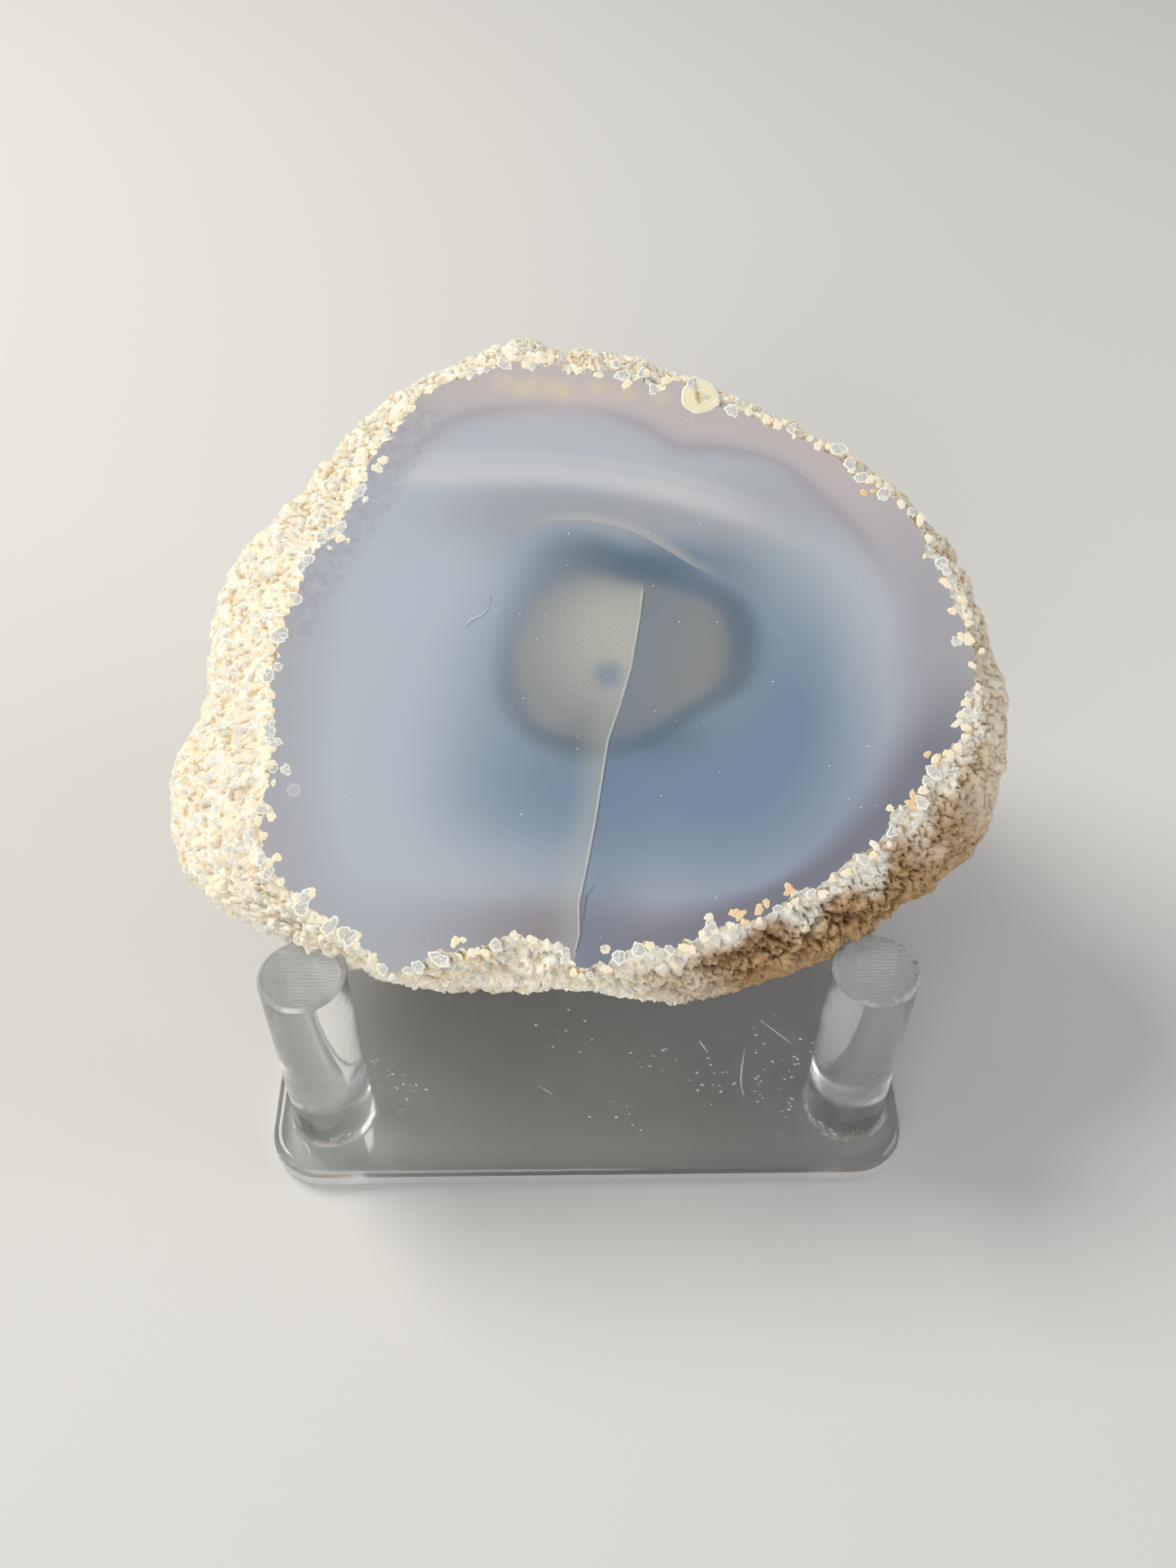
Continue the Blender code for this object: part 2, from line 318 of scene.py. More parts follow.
def cellsAt(points, size):  # distances to the two nearest cell middles, and three numbers for each cell
    places = points / size
    cells = np.array([(*found[0][:2], *found[1][0]) for found in map(noise.voronoi, places.tolist())])
    middle = cells[:, 2:]
    chance = np.mod(np.sin(middle @ np.array([[12.9898, 39.346, 73.156], [78.233, 11.135, 52.235],
                                              [37.719, 83.155, 9.151]])) * 43758.5453, 1)
    return cells[:, 0], cells[:, 1] - cells[:, 0], places - middle, chance


def rindHeight(points):  # the broad relief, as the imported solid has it
    swell, knob, point, facet = (nodule[key] for key in ("swell", "knob", "point", "facet"))
    return (swell[1] * noiseAt(points, swell[0]) + knob[1] * noiseAt(points, knob[0])
            + point[1] * (0.45 - cellsAt(points, point[0])[0]) + facet[1] * noiseAt(points, facet[0]))


crags = {
    "size": 1.55,
    "squash": 0.75,
    "height": 1.9,
    "rounding": (0.38, 0.68),  # how soon a lump levels off, and the level that is taken as even
    "crease": (0.2, 0.5),  # how near the bottom of the pattern a crease is full and ends
    "drift": (1.2, 0.5),  # size and strength of the twist that breaks up the pattern
    "driftSeed": 4,
    "grain": (0.5, 0.16),
    "tonePatch": (1.25, 0.22, 0.15),  # size, and depth and width of the groove around each
    "bold": (2.9, 2.2, (262, 42, 20)),  # size and height of bigger lumps, and the arc that has them
    "boldFade": (0.6, 6, 12),  # how much of them is lost, and between which depths
    "boldRounding": (0.3, 0.75),
    "boldCrease": (0.58, 0.1, 0.35),  # strength, and where it is full and ends
    "frost": [  # even grey rind: strength, arc, and the depths between which it fades
        (0.75, (317, 26, 14), (0.8, 2.4)), (0.45, (68, 52, 24), (3, 8)),
    ],
    "frostTone": 0.54,
}

# Iron stain on the rind, darkened further as painted shade where the right and lower right flanks turn from
# the light
stain = {
    "flank": (306, 14, 24),  # arc of the lower right flank: middle, half and soft edge in degrees
    "right": (2, 24, 22),
    "rightStrength": 0.34,
    "cloudSize": 6,
    "setIn": (0.4, 2.0),  # depths at which the flank's stain starts and is full
    "under": (7, 22),
    "underSize": 13,
}

rugged = {  # share of the crags' height that each stretch of rind has, by arc
    "least": 0.52,
    "bottom": (0.4, (265, 42, 18)),
    "lowerRight": (0.4, (318, 22, 20), (1.5, 3.5)),  # with the depths between which it ends
    "back": (0.35, (5, 14)),  # share lost, and the depths between which it goes
}


def craggyRelief(points):  # fused rounded lumps with sharp creases between them
    size, strength = crags["drift"]
    noise.seed_set(crags["driftSeed"])  # without it the twist would change from run to run
    drift = np.array([noise.noise_vector(place) for place in (points / size).tolist()])
    places = points + drift * strength
    stretched = (places * (1, 1, crags["squash"]) / crags["size"]).tolist()
    lumps = np.array([noise.turbulence(place, 3, True, amplitude_scale=0.6, frequency_scale=2.1)
                      for place in stretched])
    soon, even = crags["rounding"]
    grainSize, grainHeight = crags["grain"]
    relief = crags["height"] * (1 - np.exp(-lumps / soon) - even) + grainHeight * noiseAt(places, grainSize)
    toneSize, grooveDepth, grooveWidth = crags["tonePatch"]
    _, gap, _, chance = cellsAt(places, toneSize)
    relief -= grooveDepth * (1 - softStep(gap, 0.0, grooveWidth))

    boldSize, boldHeight, arc = crags["bold"]
    lost, fadeStart, fadeEnd = crags["boldFade"]
    soon, even = crags["boldRounding"]
    angle, depth = np.arctan2(points[:, 1], points[:, 0]), -points[:, 2]
    squashed = (places * (1, 1, 0.6) / boldSize).tolist()
    bold = np.array([noise.turbulence(place, 2, True) for place in squashed])
    here = arcShare(angle, *arc) * (1 - lost * softStep(depth, fadeStart, fadeEnd))
    relief += boldHeight * here * (1 - np.exp(-bold / soon) - even)

    strength, full, end = crags["boldCrease"]
    # crease: how deep in a crease a point lies; the colour darkens there as ochre in the pits and as painted
    # shade
    crease = (1 - softStep(lumps, *crags["crease"])) * (1 - 0.5 * here)
    crease = np.maximum(crease, strength * here * (1 - softStep(bold, full, end)))
    tone = chance[:, 0] * 0.6 + chance[:, 1] * 0.4
    frost = np.max([strength * arcShare(angle, *arc) * (1 - softStep(depth, *fade))
                    for strength, arc, fade in crags["frost"]], axis=0)
    return relief, tone + (crags["frostTone"] - tone) * frost, crease


def pegPlaces():
    row = stand["plate"][1] / 2 - stand["pegInset"]
    return {f"peg_{where}_{side}": (x, y) for where, y in (("front", -row), ("rear", row))
            for side, x in stand["pegColumns"].items()}


def toWorld(points):  # from the stone's millimetres to metres in the model's frame
    matrix = np.array(stoneMatrix())
    return points * mm @ matrix[:3, :3].T + matrix[:3, 3]


def clearOfPegs(points):  # draws points that a peg would touch in towards the stone's middle
    reach = stand["pegDiameter"] / 2 + pegGap["side"]
    ceiling = stand["plate"][2] + stand["cementGap"] + stand["pegLength"] + pegGap["top"]
    inward = np.array(pegGap["middle"]) - points
    inward *= pegGap["step"] / np.linalg.norm(inward, axis=1, keepdims=True)
    for _ in range(pegGap["limit"]):
        world = toWorld(points) / mm
        touching = np.zeros(len(points), bool)
        for x, y in pegPlaces().values():
            touching |= np.hypot(world[:, 0] - x, world[:, 1] - y) < reach
        touching &= world[:, 2] < ceiling
        if not touching.any():
            break
        points[touching] += inward[touching]
    return points


def nearestOnLine(points, line):  # distance to a drawn line, its side and the share along it
    line = np.array(line, float)
    lengths = np.concatenate([[0], np.cumsum(np.hypot(*np.diff(line, axis=0).T))])
    best = np.full(len(points), 1e9)
    side, along = np.zeros(len(points)), np.zeros(len(points))
    for index in range(len(line) - 1):
        start, leg = line[index], line[index + 1] - line[index]
        share = np.clip((points - start) @ leg / (leg @ leg), 0, 1)
        offset = points - start - share[:, None] * leg
        distance = np.hypot(*offset.T)
        closer = distance < best
        best[closer] = distance[closer]
        side[closer] = np.where(leg[0] * offset[:, 1] - leg[1] * offset[:, 0] < 0, -1, 1)[closer]
        along[closer] = (lengths[index] + share * math.sqrt(leg @ leg))[closer]
    return best, side, along / lengths[-1]


def patch(points, centre, reach):  # soft round patch, 1 in the middle
    offset = (points - np.array(centre)) / np.array(reach)
    return np.exp(-(offset ** 2).sum(axis=1))


def arcShare(angle, middle, half, soft):  # 1 within half of the middle direction, in degrees
    away = np.abs((np.degrees(angle) - middle + 180) % 360 - 180)
    return 1 - softStep(away, half, half + soft)


def stainAndShadeAt(points):  # iron stain deepened by painted shade: strongest on the lower right flank, weaker on the right, some on the underside
    angle, depth = np.arctan2(points[:, 1], points[:, 0]), -points[:, 2]
    cloud = noiseAt(points, stain["cloudSize"])
    flank = (arcShare(angle + 0.1 * cloud, *stain["flank"])
             + arcShare(angle, *stain["right"]) * stain["rightStrength"])
    flank = np.minimum(flank, 1) * softStep(depth + cloud * 1.6, *stain["setIn"])
    under = softStep(depth, *stain["under"]) * (0.3 + 0.7 * noiseAt(points, stain["underSize"]))
    return np.clip(np.maximum(flank, under) + 0.12 * cloud, 0, 1)


def ruggedShare(points):  # how deep the relief is: low on the left, deep along the bottom
    angle, depth = np.arctan2(points[:, 1], points[:, 0]), -points[:, 2]
    more, arc = rugged["bottom"]
    share = rugged["least"] + more * arcShare(angle, *arc)
    more, arc, end = rugged["lowerRight"]
    share += more * arcShare(angle, *arc) * (1 - softStep(depth, *end))
    lost, fade = rugged["back"]
    return share * (1 - lost * softStep(depth, *fade))


def rindGrid():  # directions over half a sphere, closer together near the cut, and the faces between them
    half = nodule["gridHalf"]
    bm = bmesh.new()
    bmesh.ops.create_cube(bm, size=2)
    bmesh.ops.subdivide_edges(bm, edges=bm.edges, cuts=2 * half - 1, use_grid_fill=True)
    bmesh.ops.delete(bm, geom=[vert for vert in bm.verts if vert.co.z > 0.01 / half], context="VERTS")
    spread = np.tan(np.array([vert.co for vert in bm.verts]) * math.pi / 4)
    latitude = np.degrees(np.arcsin(-spread[:, 2] / np.linalg.norm(spread, axis=1)))
    near = set(np.flatnonzero(latitude < nodule["fineLatitude"]).tolist())
    bm.verts.index_update()
    fineEdges = [edge for edge in bm.edges if all(vert.index in near for vert in edge.verts)]
    bmesh.ops.subdivide_edges(bm, edges=fineEdges, cuts=1, use_grid_fill=True)
    bmesh.ops.triangulate(bm, faces=[face for face in bm.faces if len(face.verts) > 4])
    bm.verts.index_update()
    spread = np.tan(np.array([vert.co for vert in bm.verts]) * math.pi / 4)
    faces = [[vert.index for vert in face.verts] for face in bm.faces]
    bm.free()
    return spread, faces


def buildRind(material):
    spread, faces = rindGrid()
    rim = np.abs(spread[:, 2]) < 1e-4
    bare = bareNodule(spread / np.linalg.norm(spread, axis=1, keepdims=True))
    bareMesh = meshFrom("bareNodule", bare, faces)
    outward = np.empty(len(bare) * 3, np.float32)
    bareMesh.vertex_normals.foreach_get("vector", outward)
    outward = outward.reshape(-1, 3).astype(float)
    bpy.data.meshes.remove(bareMesh)
    if outward[np.argmin(bare[:, 2]), 2] > 0:
        outward = -outward
        faces = [face[::-1] for face in faces]
    relief, tone, crease = craggyRelief(bare)
    points = bare + outward * (rindHeight(bare) + relief * ruggedShare(bare))[:, None]
    points[:, 2] = np.minimum(points[:, 2], -nodule["clearance"])

    calmDepth, calmShare = nodule["calmRim"]  # the relief dies out towards the cut
    nearRim = 1 - softStep(-bare[:, 2], 0.0, calmDepth)
    points += (bare - points) * nearRim[:, None] * calmShare
    points[:, 2] = np.minimum(points[:, 2], -nodule["clearance"])
    flat = outward[rim] * (1, 1, 0)
    flat /= np.linalg.norm(flat, axis=1, keepdims=True)
    edge = bare[rim]
    bites = sum(np.maximum(0, reach - cellsAt(edge, size)[0]) * height
                for size, reach, height in nodule["rimLobes"])
    points[rim] = edge + flat * (nodule["rimOut"] - bites)[:, None]
    points[rim, 2] = 0
    points[~rim] = clearOfPegs(points[~rim])
    values = {"tone": tone, "crease": crease, "stain": stainAndShadeAt(bare)}

    centres = np.array([points[face].mean(axis=0) for face in faces])
    for side, chosen in (("left", centres[:, 0] < 0), ("right", centres[:, 0] >= 0)):
        half = [face for face, inHalf in zip(faces, chosen) if inHalf]
        used = np.unique(np.concatenate([np.array(face) for face in half]))
        index = np.full(len(points), -1)
        index[used] = np.arange(len(used))
        mesh = meshFrom(f"rind_{side}", toWorld(points[used]), [index[face].tolist() for face in half])
        mesh.set_sharp_from_angle(angle=math.radians(nodule["sharpAngle"]))
        storePlace(mesh, points[used])
        storeValues(mesh, {name: numbers[used] for name, numbers in values.items()})
        showPiece(f"rind_{side}", mesh, [material], "agate", ["agate_nodule"])
        print("rind", side, len(half), "faces")
    order = np.argsort(np.arctan2(points[rim, 1], points[rim, 0]))
    return points[rim][order][:, :2]


# What shows in the polished face: bands as nested contours, from the eye outwards
faceBands = {
    "middle": (0, -3),
    "contours": [
        [(0, 7.5), (-4.5, 8), (-9.5, 6), (-13.5, 0.5), (-14.5, -4.5), (-13.5, -9), (-12, -13),
         (-6, -15.5), (0, -15.5), (8, -11.5), (12.5, -8.5), (15, -4.5), (15, 0.5), (13.5, 3.5),
         (8.5, 5.5), (4, 6.5)],
        [(-3, 13.5), (-8.5, 12.5), (-12, 9), (-15, 4), (-16.5, -3), (-16.5, -9.5), (-12, -15.5),
         (-6, -17.5), (3.5, -17.5), (11.5, -12), (18, -8), (19.5, -3.5), (19, 2), (15, 6.5),
         (8.5, 9), (2, 11)],
        [(-4, 16.5), (-10.5, 16.5), (-15, 12.5), (-17.5, 6), (-19.5, -2.5), (-19, -10.5),
         (-14.5, -17), (-8, -21), (1.5, -19.5), (9.5, -15.5), (16, -12.5), (21, -8), (23, -1.5),
         (20.5, 5), (15, 9), (7, 12), (1, 14.5)],
        [(-24.5, 34), (-17, 36), (-4.5, 36), (4.5, 33), (9.5, 29.5), (18, 29), (25.5, 26.5),
         (31, 21), (36, 15.5), (40.5, 7), (41.5, -3), (39.5, -15), (32.5, -27.5), (22.5, -36.5),
         (10, -39.5), (-7.5, -39.5), (-24, -39), (-36.5, -36.5), (-41.5, -27), (-42.5, -15),
         (-41, -2.5), (-39, 10.5), (-35.5, 20.5), (-30.5, 28.5)],
    ],
    "eyeLine": [(-14.5, 16.5), (-9.5, 18), (-4.5, 18), (0, 17), (3, 16), (7, 13.5), (11.5, 10.5),
                (17.5, 7.5)],
    "spots": [  # place, radius where it ends, radius where it is full, strength, colour
        ((-1.5, -6.5), 3.3, 0.7, 0.8, "#7d8f9b"), ((-47.5, -23.5), 1.05, 0.95, 0.45, "#d5d5da"),
        ((-47.5, -23.5), 0.8, 0.6, 0.6, "#adaab3"),
    ],
    "crack": [(4, 6.5), (3.5, 2.5), (2, -5.5), (0.5, -10.5), (-1.5, -16.5), (-2.5, -22.5),
              (-3.5, -28.5), (-5, -36), (-6, -40.5), (-6, -45), (-6.5, -47)],
    "branch": [(-4, -38), (-5, -39.5), (-5.5, -43)],
    "strip": [(-49, 2), (-46, 8), (-42.5, 13), (-38, 20), (-35, 26), (-30, 34)],
    "stripWidth": (4.6, 2.2),
    "crackWidth": 0.16,
    "crackDepth": 0.12,
    "gridStep": 0.45,
    "gridMargin": 0.3,
    # the level band is a painted reflection, and the thin line above it a painted glint
    "levelBand": {"height": 25.5, "bendFrom": -15, "bend": 0.006, "above": 3.8, "below": 1.9,
                  "lineHeight": 3.2, "lineWidth": 0.35, "leftEnd": (-42, -30), "rightEnd": (34, 10)},
    "creamSpots": [(-17, 41), (-14.2, 39.4), (-12.6, 40.8), (-9, 40.2), (-7.8, 38.6), (-2.6, 39.8),
                   (1.8, 38.6), (7.5, 38)],
    "patches": {  # strength, centre and reach of each soft patch of a tint
        "steel": [(0.85, (15, -26), (26, 17)), (0.5, (27, -9), (9, 12)), (0.35, (-13, -24), (12, 10))],
        "pale": [(0.8, (-35, -12), (14, 36)), (0.5, (-25, 12), (16, 14))],
        "lavender": [(0.8, (12, 19.5), (23, 6)), (0.55, (-16, 19), (15, 5))],
        "warmTop": [(0.4, (-9, 37.5), (11, 4))],
        "warmFoot": [(0.85, (-10, -45), (14, 5.5))],
        "darkRing": [(0.75, (6, 11), (11, 3.4)), (0.6, (4, -16), (9, 3.6)), (0.35, (18, 1), (4, 9))],
        # painted light: the eye is made lighter left of the crack, where the fracture under the polish
        # catches the light
        "warmEye": [(0.75, (-0.5, 1.5), (8, 8))],
    },
    "tints": {  # painted over the bands in this order
        # the level band's tint is a painted reflection
        "pale": "#aeb8c2", "steel": "#687f96", "lavender": "#9f9fa5", "levelBand": "#c2c4c6",
        "mauveLine": "#938990", "mauveRim": "#74737e", "warmTop": "#c1b6b3", "warmFoot": "#8a8487",
        # the eye's two tints beside the crack are painted light on its left and painted shade on its right
        "darkRing": "#516676", "warmEye": "#b7b6ab", "rightEye": "#858784", "creamTop": "#d0c3a7",
    },
    "lines": [  # distance, where it starts and is full, strength, its side, what limits it, colour
        # painted light left of the crack and painted shade right of it, as the fracture under the polish
        # catches the light
        ("crackSide", -5.5, -0.2, 0.4, "LESS_THAN", "crackReach", "#b2b4ab"),
        ("crackSide", 13.0, 0.2, 0.45, "GREATER_THAN", "crackReach", "#667a90"),
        ("eyeLine", 2.0, 0.1, 0.55, "GREATER_THAN", "eyeLineReach", "#b5b4ac"),
        # a painted highlight along the crack's left edge and a painted shadow along its right edge
        ("crackSide", -0.45, -0.1, 0.58, "LESS_THAN", "crackReach", "#dcdcd2"),
        ("crackSide", 0.4, 0.05, 0.75, "GREATER_THAN", "crackReach", "#4f5d6a"),
        # a painted shadow beside the branch of the crack
        ("branchSide", 0.35, 0.05, 0.6, "GREATER_THAN", "", "#59636e"),
    ],
}


def rimRadius(rimLoop, angles):
    ringAngles = np.arctan2(rimLoop[:, 1], rimLoop[:, 0])
    return np.interp(angles, ringAngles, np.hypot(*rimLoop.T), period=math.tau)


def offsetLine(line, distance):  # a line beside another, from the same start
    line = np.array(line, float)
    along = np.gradient(line, axis=0)
    along /= np.linalg.norm(along, axis=1, keepdims=True)
    width = np.full(len(line), distance)
    width[0] = 0
    return line + np.column_stack([-along[:, 1], along[:, 0]]) * width[:, None]


def insideRim(points, rimLoop, margin):
    angles = np.arctan2(points[:, 1], points[:, 0])
    return np.hypot(*points.T) < rimRadius(rimLoop, angles) - margin


def buildFace(rimLoop, material):
    step, margin, width = faceBands["gridStep"], faceBands["gridMargin"], faceBands["crackWidth"] / 2
    grid = np.array([(x + (row % 2) * step / 2, y) for row, y in enumerate(np.arange(-56, 50, step * 0.866))
                     for x in np.arange(-56, 58, step)])
    grid = grid[insideRim(grid, rimLoop, margin)]
    outline = rimLoop.tolist()
    edges, depths, extra = [], [0.0] * len(outline), []
    for name in ("crack", "branch"):  # each is a groove: a low middle line between two edges
        line = np.array(faceBands[name], float)
        line = line[insideRim(line, rimLoop, margin)]
        grid = grid[nearestOnLine(grid, faceBands[name])[0] > 0.2]
        for offset, depth in ((0, -faceBands["crackDepth"]), (width, 0), (-width, 0)):
            first = len(outline) + len(extra)
            extra += offsetLine(line, offset).tolist()
            depths += [0.0] + [depth] * (len(line) - 1)
            edges += [(first + place, first + place + 1) for place in range(len(line) - 1)]
    flatPoints = [Vector(point) for point in outline + extra + grid.tolist()]
    verts, _, faces, origin, _, _ = geometry.delaunay_2d_cdt(
        flatPoints, edges, [list(range(len(outline)))], 1, 1e-5, True)
    points = np.array([(vert.x, vert.y, depths[source[0]] if source and source[0] < len(depths) else 0)
                       for vert, source in zip(verts, origin)])
    faces = np.array(faces)
    faces = faces[insideRim(points[faces][:, :, :2].mean(axis=1), rimLoop, 0)]
    mesh = meshFrom("polishedFace", toWorld(points), faces)
    storePlace(mesh, points)
    storeValues(mesh, facePaint(points[:, :2]))
    print("polished face:", len(mesh.polygons), "faces")
    showPiece("polishedFace", mesh, [material], "agate", ["agate_nodule"])


def reflectionBandShare(points, band):  # painted reflection: a pale level band of reflected backdrop, with a brighter painted glint line above it
    x, y = points.T
    given = faceBands["levelBand"]
    height = y - given["height"] + given["bend"] * np.maximum(x - given["bendFrom"], 0) ** 2
    width = np.where(height > 0, given["above"], given["below"])
    share = (0.85 * np.exp(-(height / width) ** 2)
             + 0.25 * np.exp(-((height - given["lineHeight"]) / given["lineWidth"]) ** 2))
    for value, fade in ((x, given["leftEnd"]), (x, given["rightEnd"]), (band, (4.05, 3.9))):
        share = share * softStep(value, *fade)
    return share


def facePaint(points):  # how strongly each feature shows at each point
    middle = np.array(faceBands["middle"])
    around = points - middle
    angle, radius = np.arctan2(around[:, 1], around[:, 0]) % math.tau, np.hypot(*around.T)
    rings = [ringAt(polarRing(contour, middle), angle)[:, 0]
             for contour in [*faceBands["contours"], faceEdge]]
    inner, band = np.zeros(len(points)), np.zeros(len(points))  # band: 0 in the middle, 5 at the rim
    for number, ring in enumerate(rings):
        within = (radius >= inner) & (radius < ring) if number < len(rings) - 1 else radius >= inner
        band[within] = number + ((radius - inner) / (ring - inner))[within]
        inner = ring
    x, y = points.T
    crack, crackSide, _ = nearestOnLine(points, faceBands["crack"])
    crackX, crackY = faceBands["crack"][0]
    crackSide = np.where(y > crackY, np.sign(x - crackX), crackSide)
    branch, branchSide, _ = nearestOnLine(points, faceBands["branch"])
    line, lineSide, lineAlong = nearestOnLine(points, faceBands["eyeLine"])
    strip = nearestOnLine(points, faceBands["strip"])[0]
    flecks = sum(patch(points, spot, (1.6, 1.2)) for spot in faceBands["creamSpots"])
    inEye, outEye, rightOf = softStep(band, 1.6, 0.7), softStep(band, 2.2, 3.2), crackSide > 0
    paint = {name: sum(strength * patch(points, centre, reach) for strength, centre, reach in patches)
             for name, patches in faceBands["patches"].items()}
    paint["steel"] = outEye * np.clip(paint["steel"], 0, 0.85)
    paint["lavender"] = np.clip(paint["lavender"], 0, 0.85) * softStep(band, 2.9, 3.1)
    paint["warmTop"] += 0.75 * softStep(band, 3.9, 4.5) * arcShare(angle, 76, 36, 34)
    # painted light, only left of the crack and inside the eye
    paint["warmEye"] *= ~rightOf * inEye
    return paint | {
        "band": band,
        "crackSide": crack * crackSide,
        "crackReach": softStep(y, 9, 5),
        "branchSide": branch * branchSide,
        "eyeLine": line * lineSide,
        "eyeLineReach": softStep(lineAlong, 0, 0.25) * softStep(lineAlong, 1, 0.7),
        "inEye": inEye,
        # painted shade, right of the crack inside the eye
        "rightEye": 0.8 * rightOf * inEye,
        "strip": softStep(strip, *faceBands["stripWidth"]),
        "creamTop": 0.6 * np.clip(flecks, 0, 1),
        # painted reflection band, with its painted glint line
        "levelBand": reflectionBandShare(points, band),
        "mauveLine": 0.5 * np.exp(-((band - 4.07) / 0.13) ** 2) * arcShare(angle, 75, 42, 25),
        "mauveRim": 0.85 * arcShare(angle, 305, 34, 22) * softStep(band, 4.0, 4.75),
    }


def buildFaceMaterial():
    # Polished chalcedony: deep, even and glassy, so its colour changes softly and its gloss is sharp
    material, tree, shader = newMaterial("polishedChalcedony")
    place = addNode(tree, "Attribute", {}, "Vector", attribute_name="stonePlace")
    field = {name: addNode(tree, "Attribute", {}, "Fac", attribute_name=name)
             for name in ("band", "crackSide", "crackReach", "branchSide", "eyeLine", "eyeLineReach",
                          "strip", "inEye", *faceBands["tints"])}

    cloud = addNode(tree, "TexNoise", {"Vector": place, "Scale": perMetre(12), "Detail": 3})
    warp = addNode(tree, "Math", [cloud, 0.3, -0.15], operation="MULTIPLY_ADD")
    band = addNode(tree, "Math", [field["band"], warp], operation="ADD")
    share = addNode(tree, "Math", [band, 0.2], operation="MULTIPLY")
    colour = addNode(tree, "ValToRGB", [share], stops=[
        (0.00, "#a7a6a0"), (0.10, "#9c9c99"), (0.16, "#8f908f"), (0.22, "#7e8385"),
        (0.31, "#6d7881"), (0.40, "#687782"), (0.50, "#768590"), (0.60, "#8897a2"),
        (0.67, "#99a5ae"), (0.74, "#acb4bb"), (0.79, "#b0b5bb"), (0.83, "#a9aab2"),
        (0.88, "#a5a4ab"), (0.95, "#a4a3a7"), (1.00, "#a6a4a5")])
    paints = [(field[name], tint) for name, tint in faceBands["tints"].items()]

    # the crack's lines paint light and shade beside the crack; the eye line is the stone's own colour
    for distance, start, full, strength, side, reach, tint in faceBands["lines"]:
        near = addNode(tree, "MapRange", [field[distance], start, full, 0, strength],
                       interpolation_type="SMOOTHSTEP")
        onSide = addNode(tree, "Math", [field[distance], 0], operation=side)
        near = addNode(tree, "Math", [near, onSide], operation="MULTIPLY")
        if reach:
            near = addNode(tree, "Math", [near, field[reach]], operation="MULTIPLY")
        paints.append((near, tint))

    leftSide = addNode(tree, "Math", [field["crackSide"], 0], operation="LESS_THAN")
    for (x, y), end, full, strength, tint in faceBands["spots"]:
        away = addNode(tree, "VectorMath", [place, (x * mm, y * mm, 0)], "Value", operation="DISTANCE")
        spot = addNode(tree, "MapRange", [away, end * mm, full * mm, 0, strength],
                       interpolation_type="SMOOTHSTEP")
        paints.append((addNode(tree, "Math", [spot, leftSide], operation="MULTIPLY"), tint))

    # The matt strip at the upper left was sawn but hardly polished: worm-like pits 1.4 mm apart
    worms = addNode(tree, "TexNoise", {"Vector": place, "Scale": perMetre(1.4), "Detail": 4,
                                       "Roughness": 0.7})
    worms = addNode(tree, "MapRange", [worms, 0.4, 0.62, 0, 0.5])
    worms = addNode(tree, "Math", [worms, field["strip"]], operation="MULTIPLY")
    rough = addNode(tree, "MapRange", [field["strip"], 0, 1, 0.07, 0.34])
    pits = addNode(tree, "Bump", {"Height": worms, "Strength": 0.6, "Distance": 0.05 * mm})

    # Fine speckle in the eye, 0.45 mm across
    speckle = addNode(tree, "TexNoise", {"Vector": place, "Scale": perMetre(0.45), "Detail": 1})
    speckle = addNode(tree, "MapRange", [speckle, 0.3, 0.7, 0, 0.2])
    speckle = addNode(tree, "Math", [speckle, field["inEye"]], operation="MULTIPLY")
    for weight, tint in [*paints, (worms, "#96949f"), (speckle, "#75797d")]:
        colour = addNode(tree, "Mix", {mixFactor: weight, mixA: colour, mixB: linearColour(tint)}, mixResult,
                         data_type="RGBA")
    setSockets(tree, shader, {"Base Color": colour, "Roughness": rough, "Normal": pits, "IOR": 1.54})
    return material


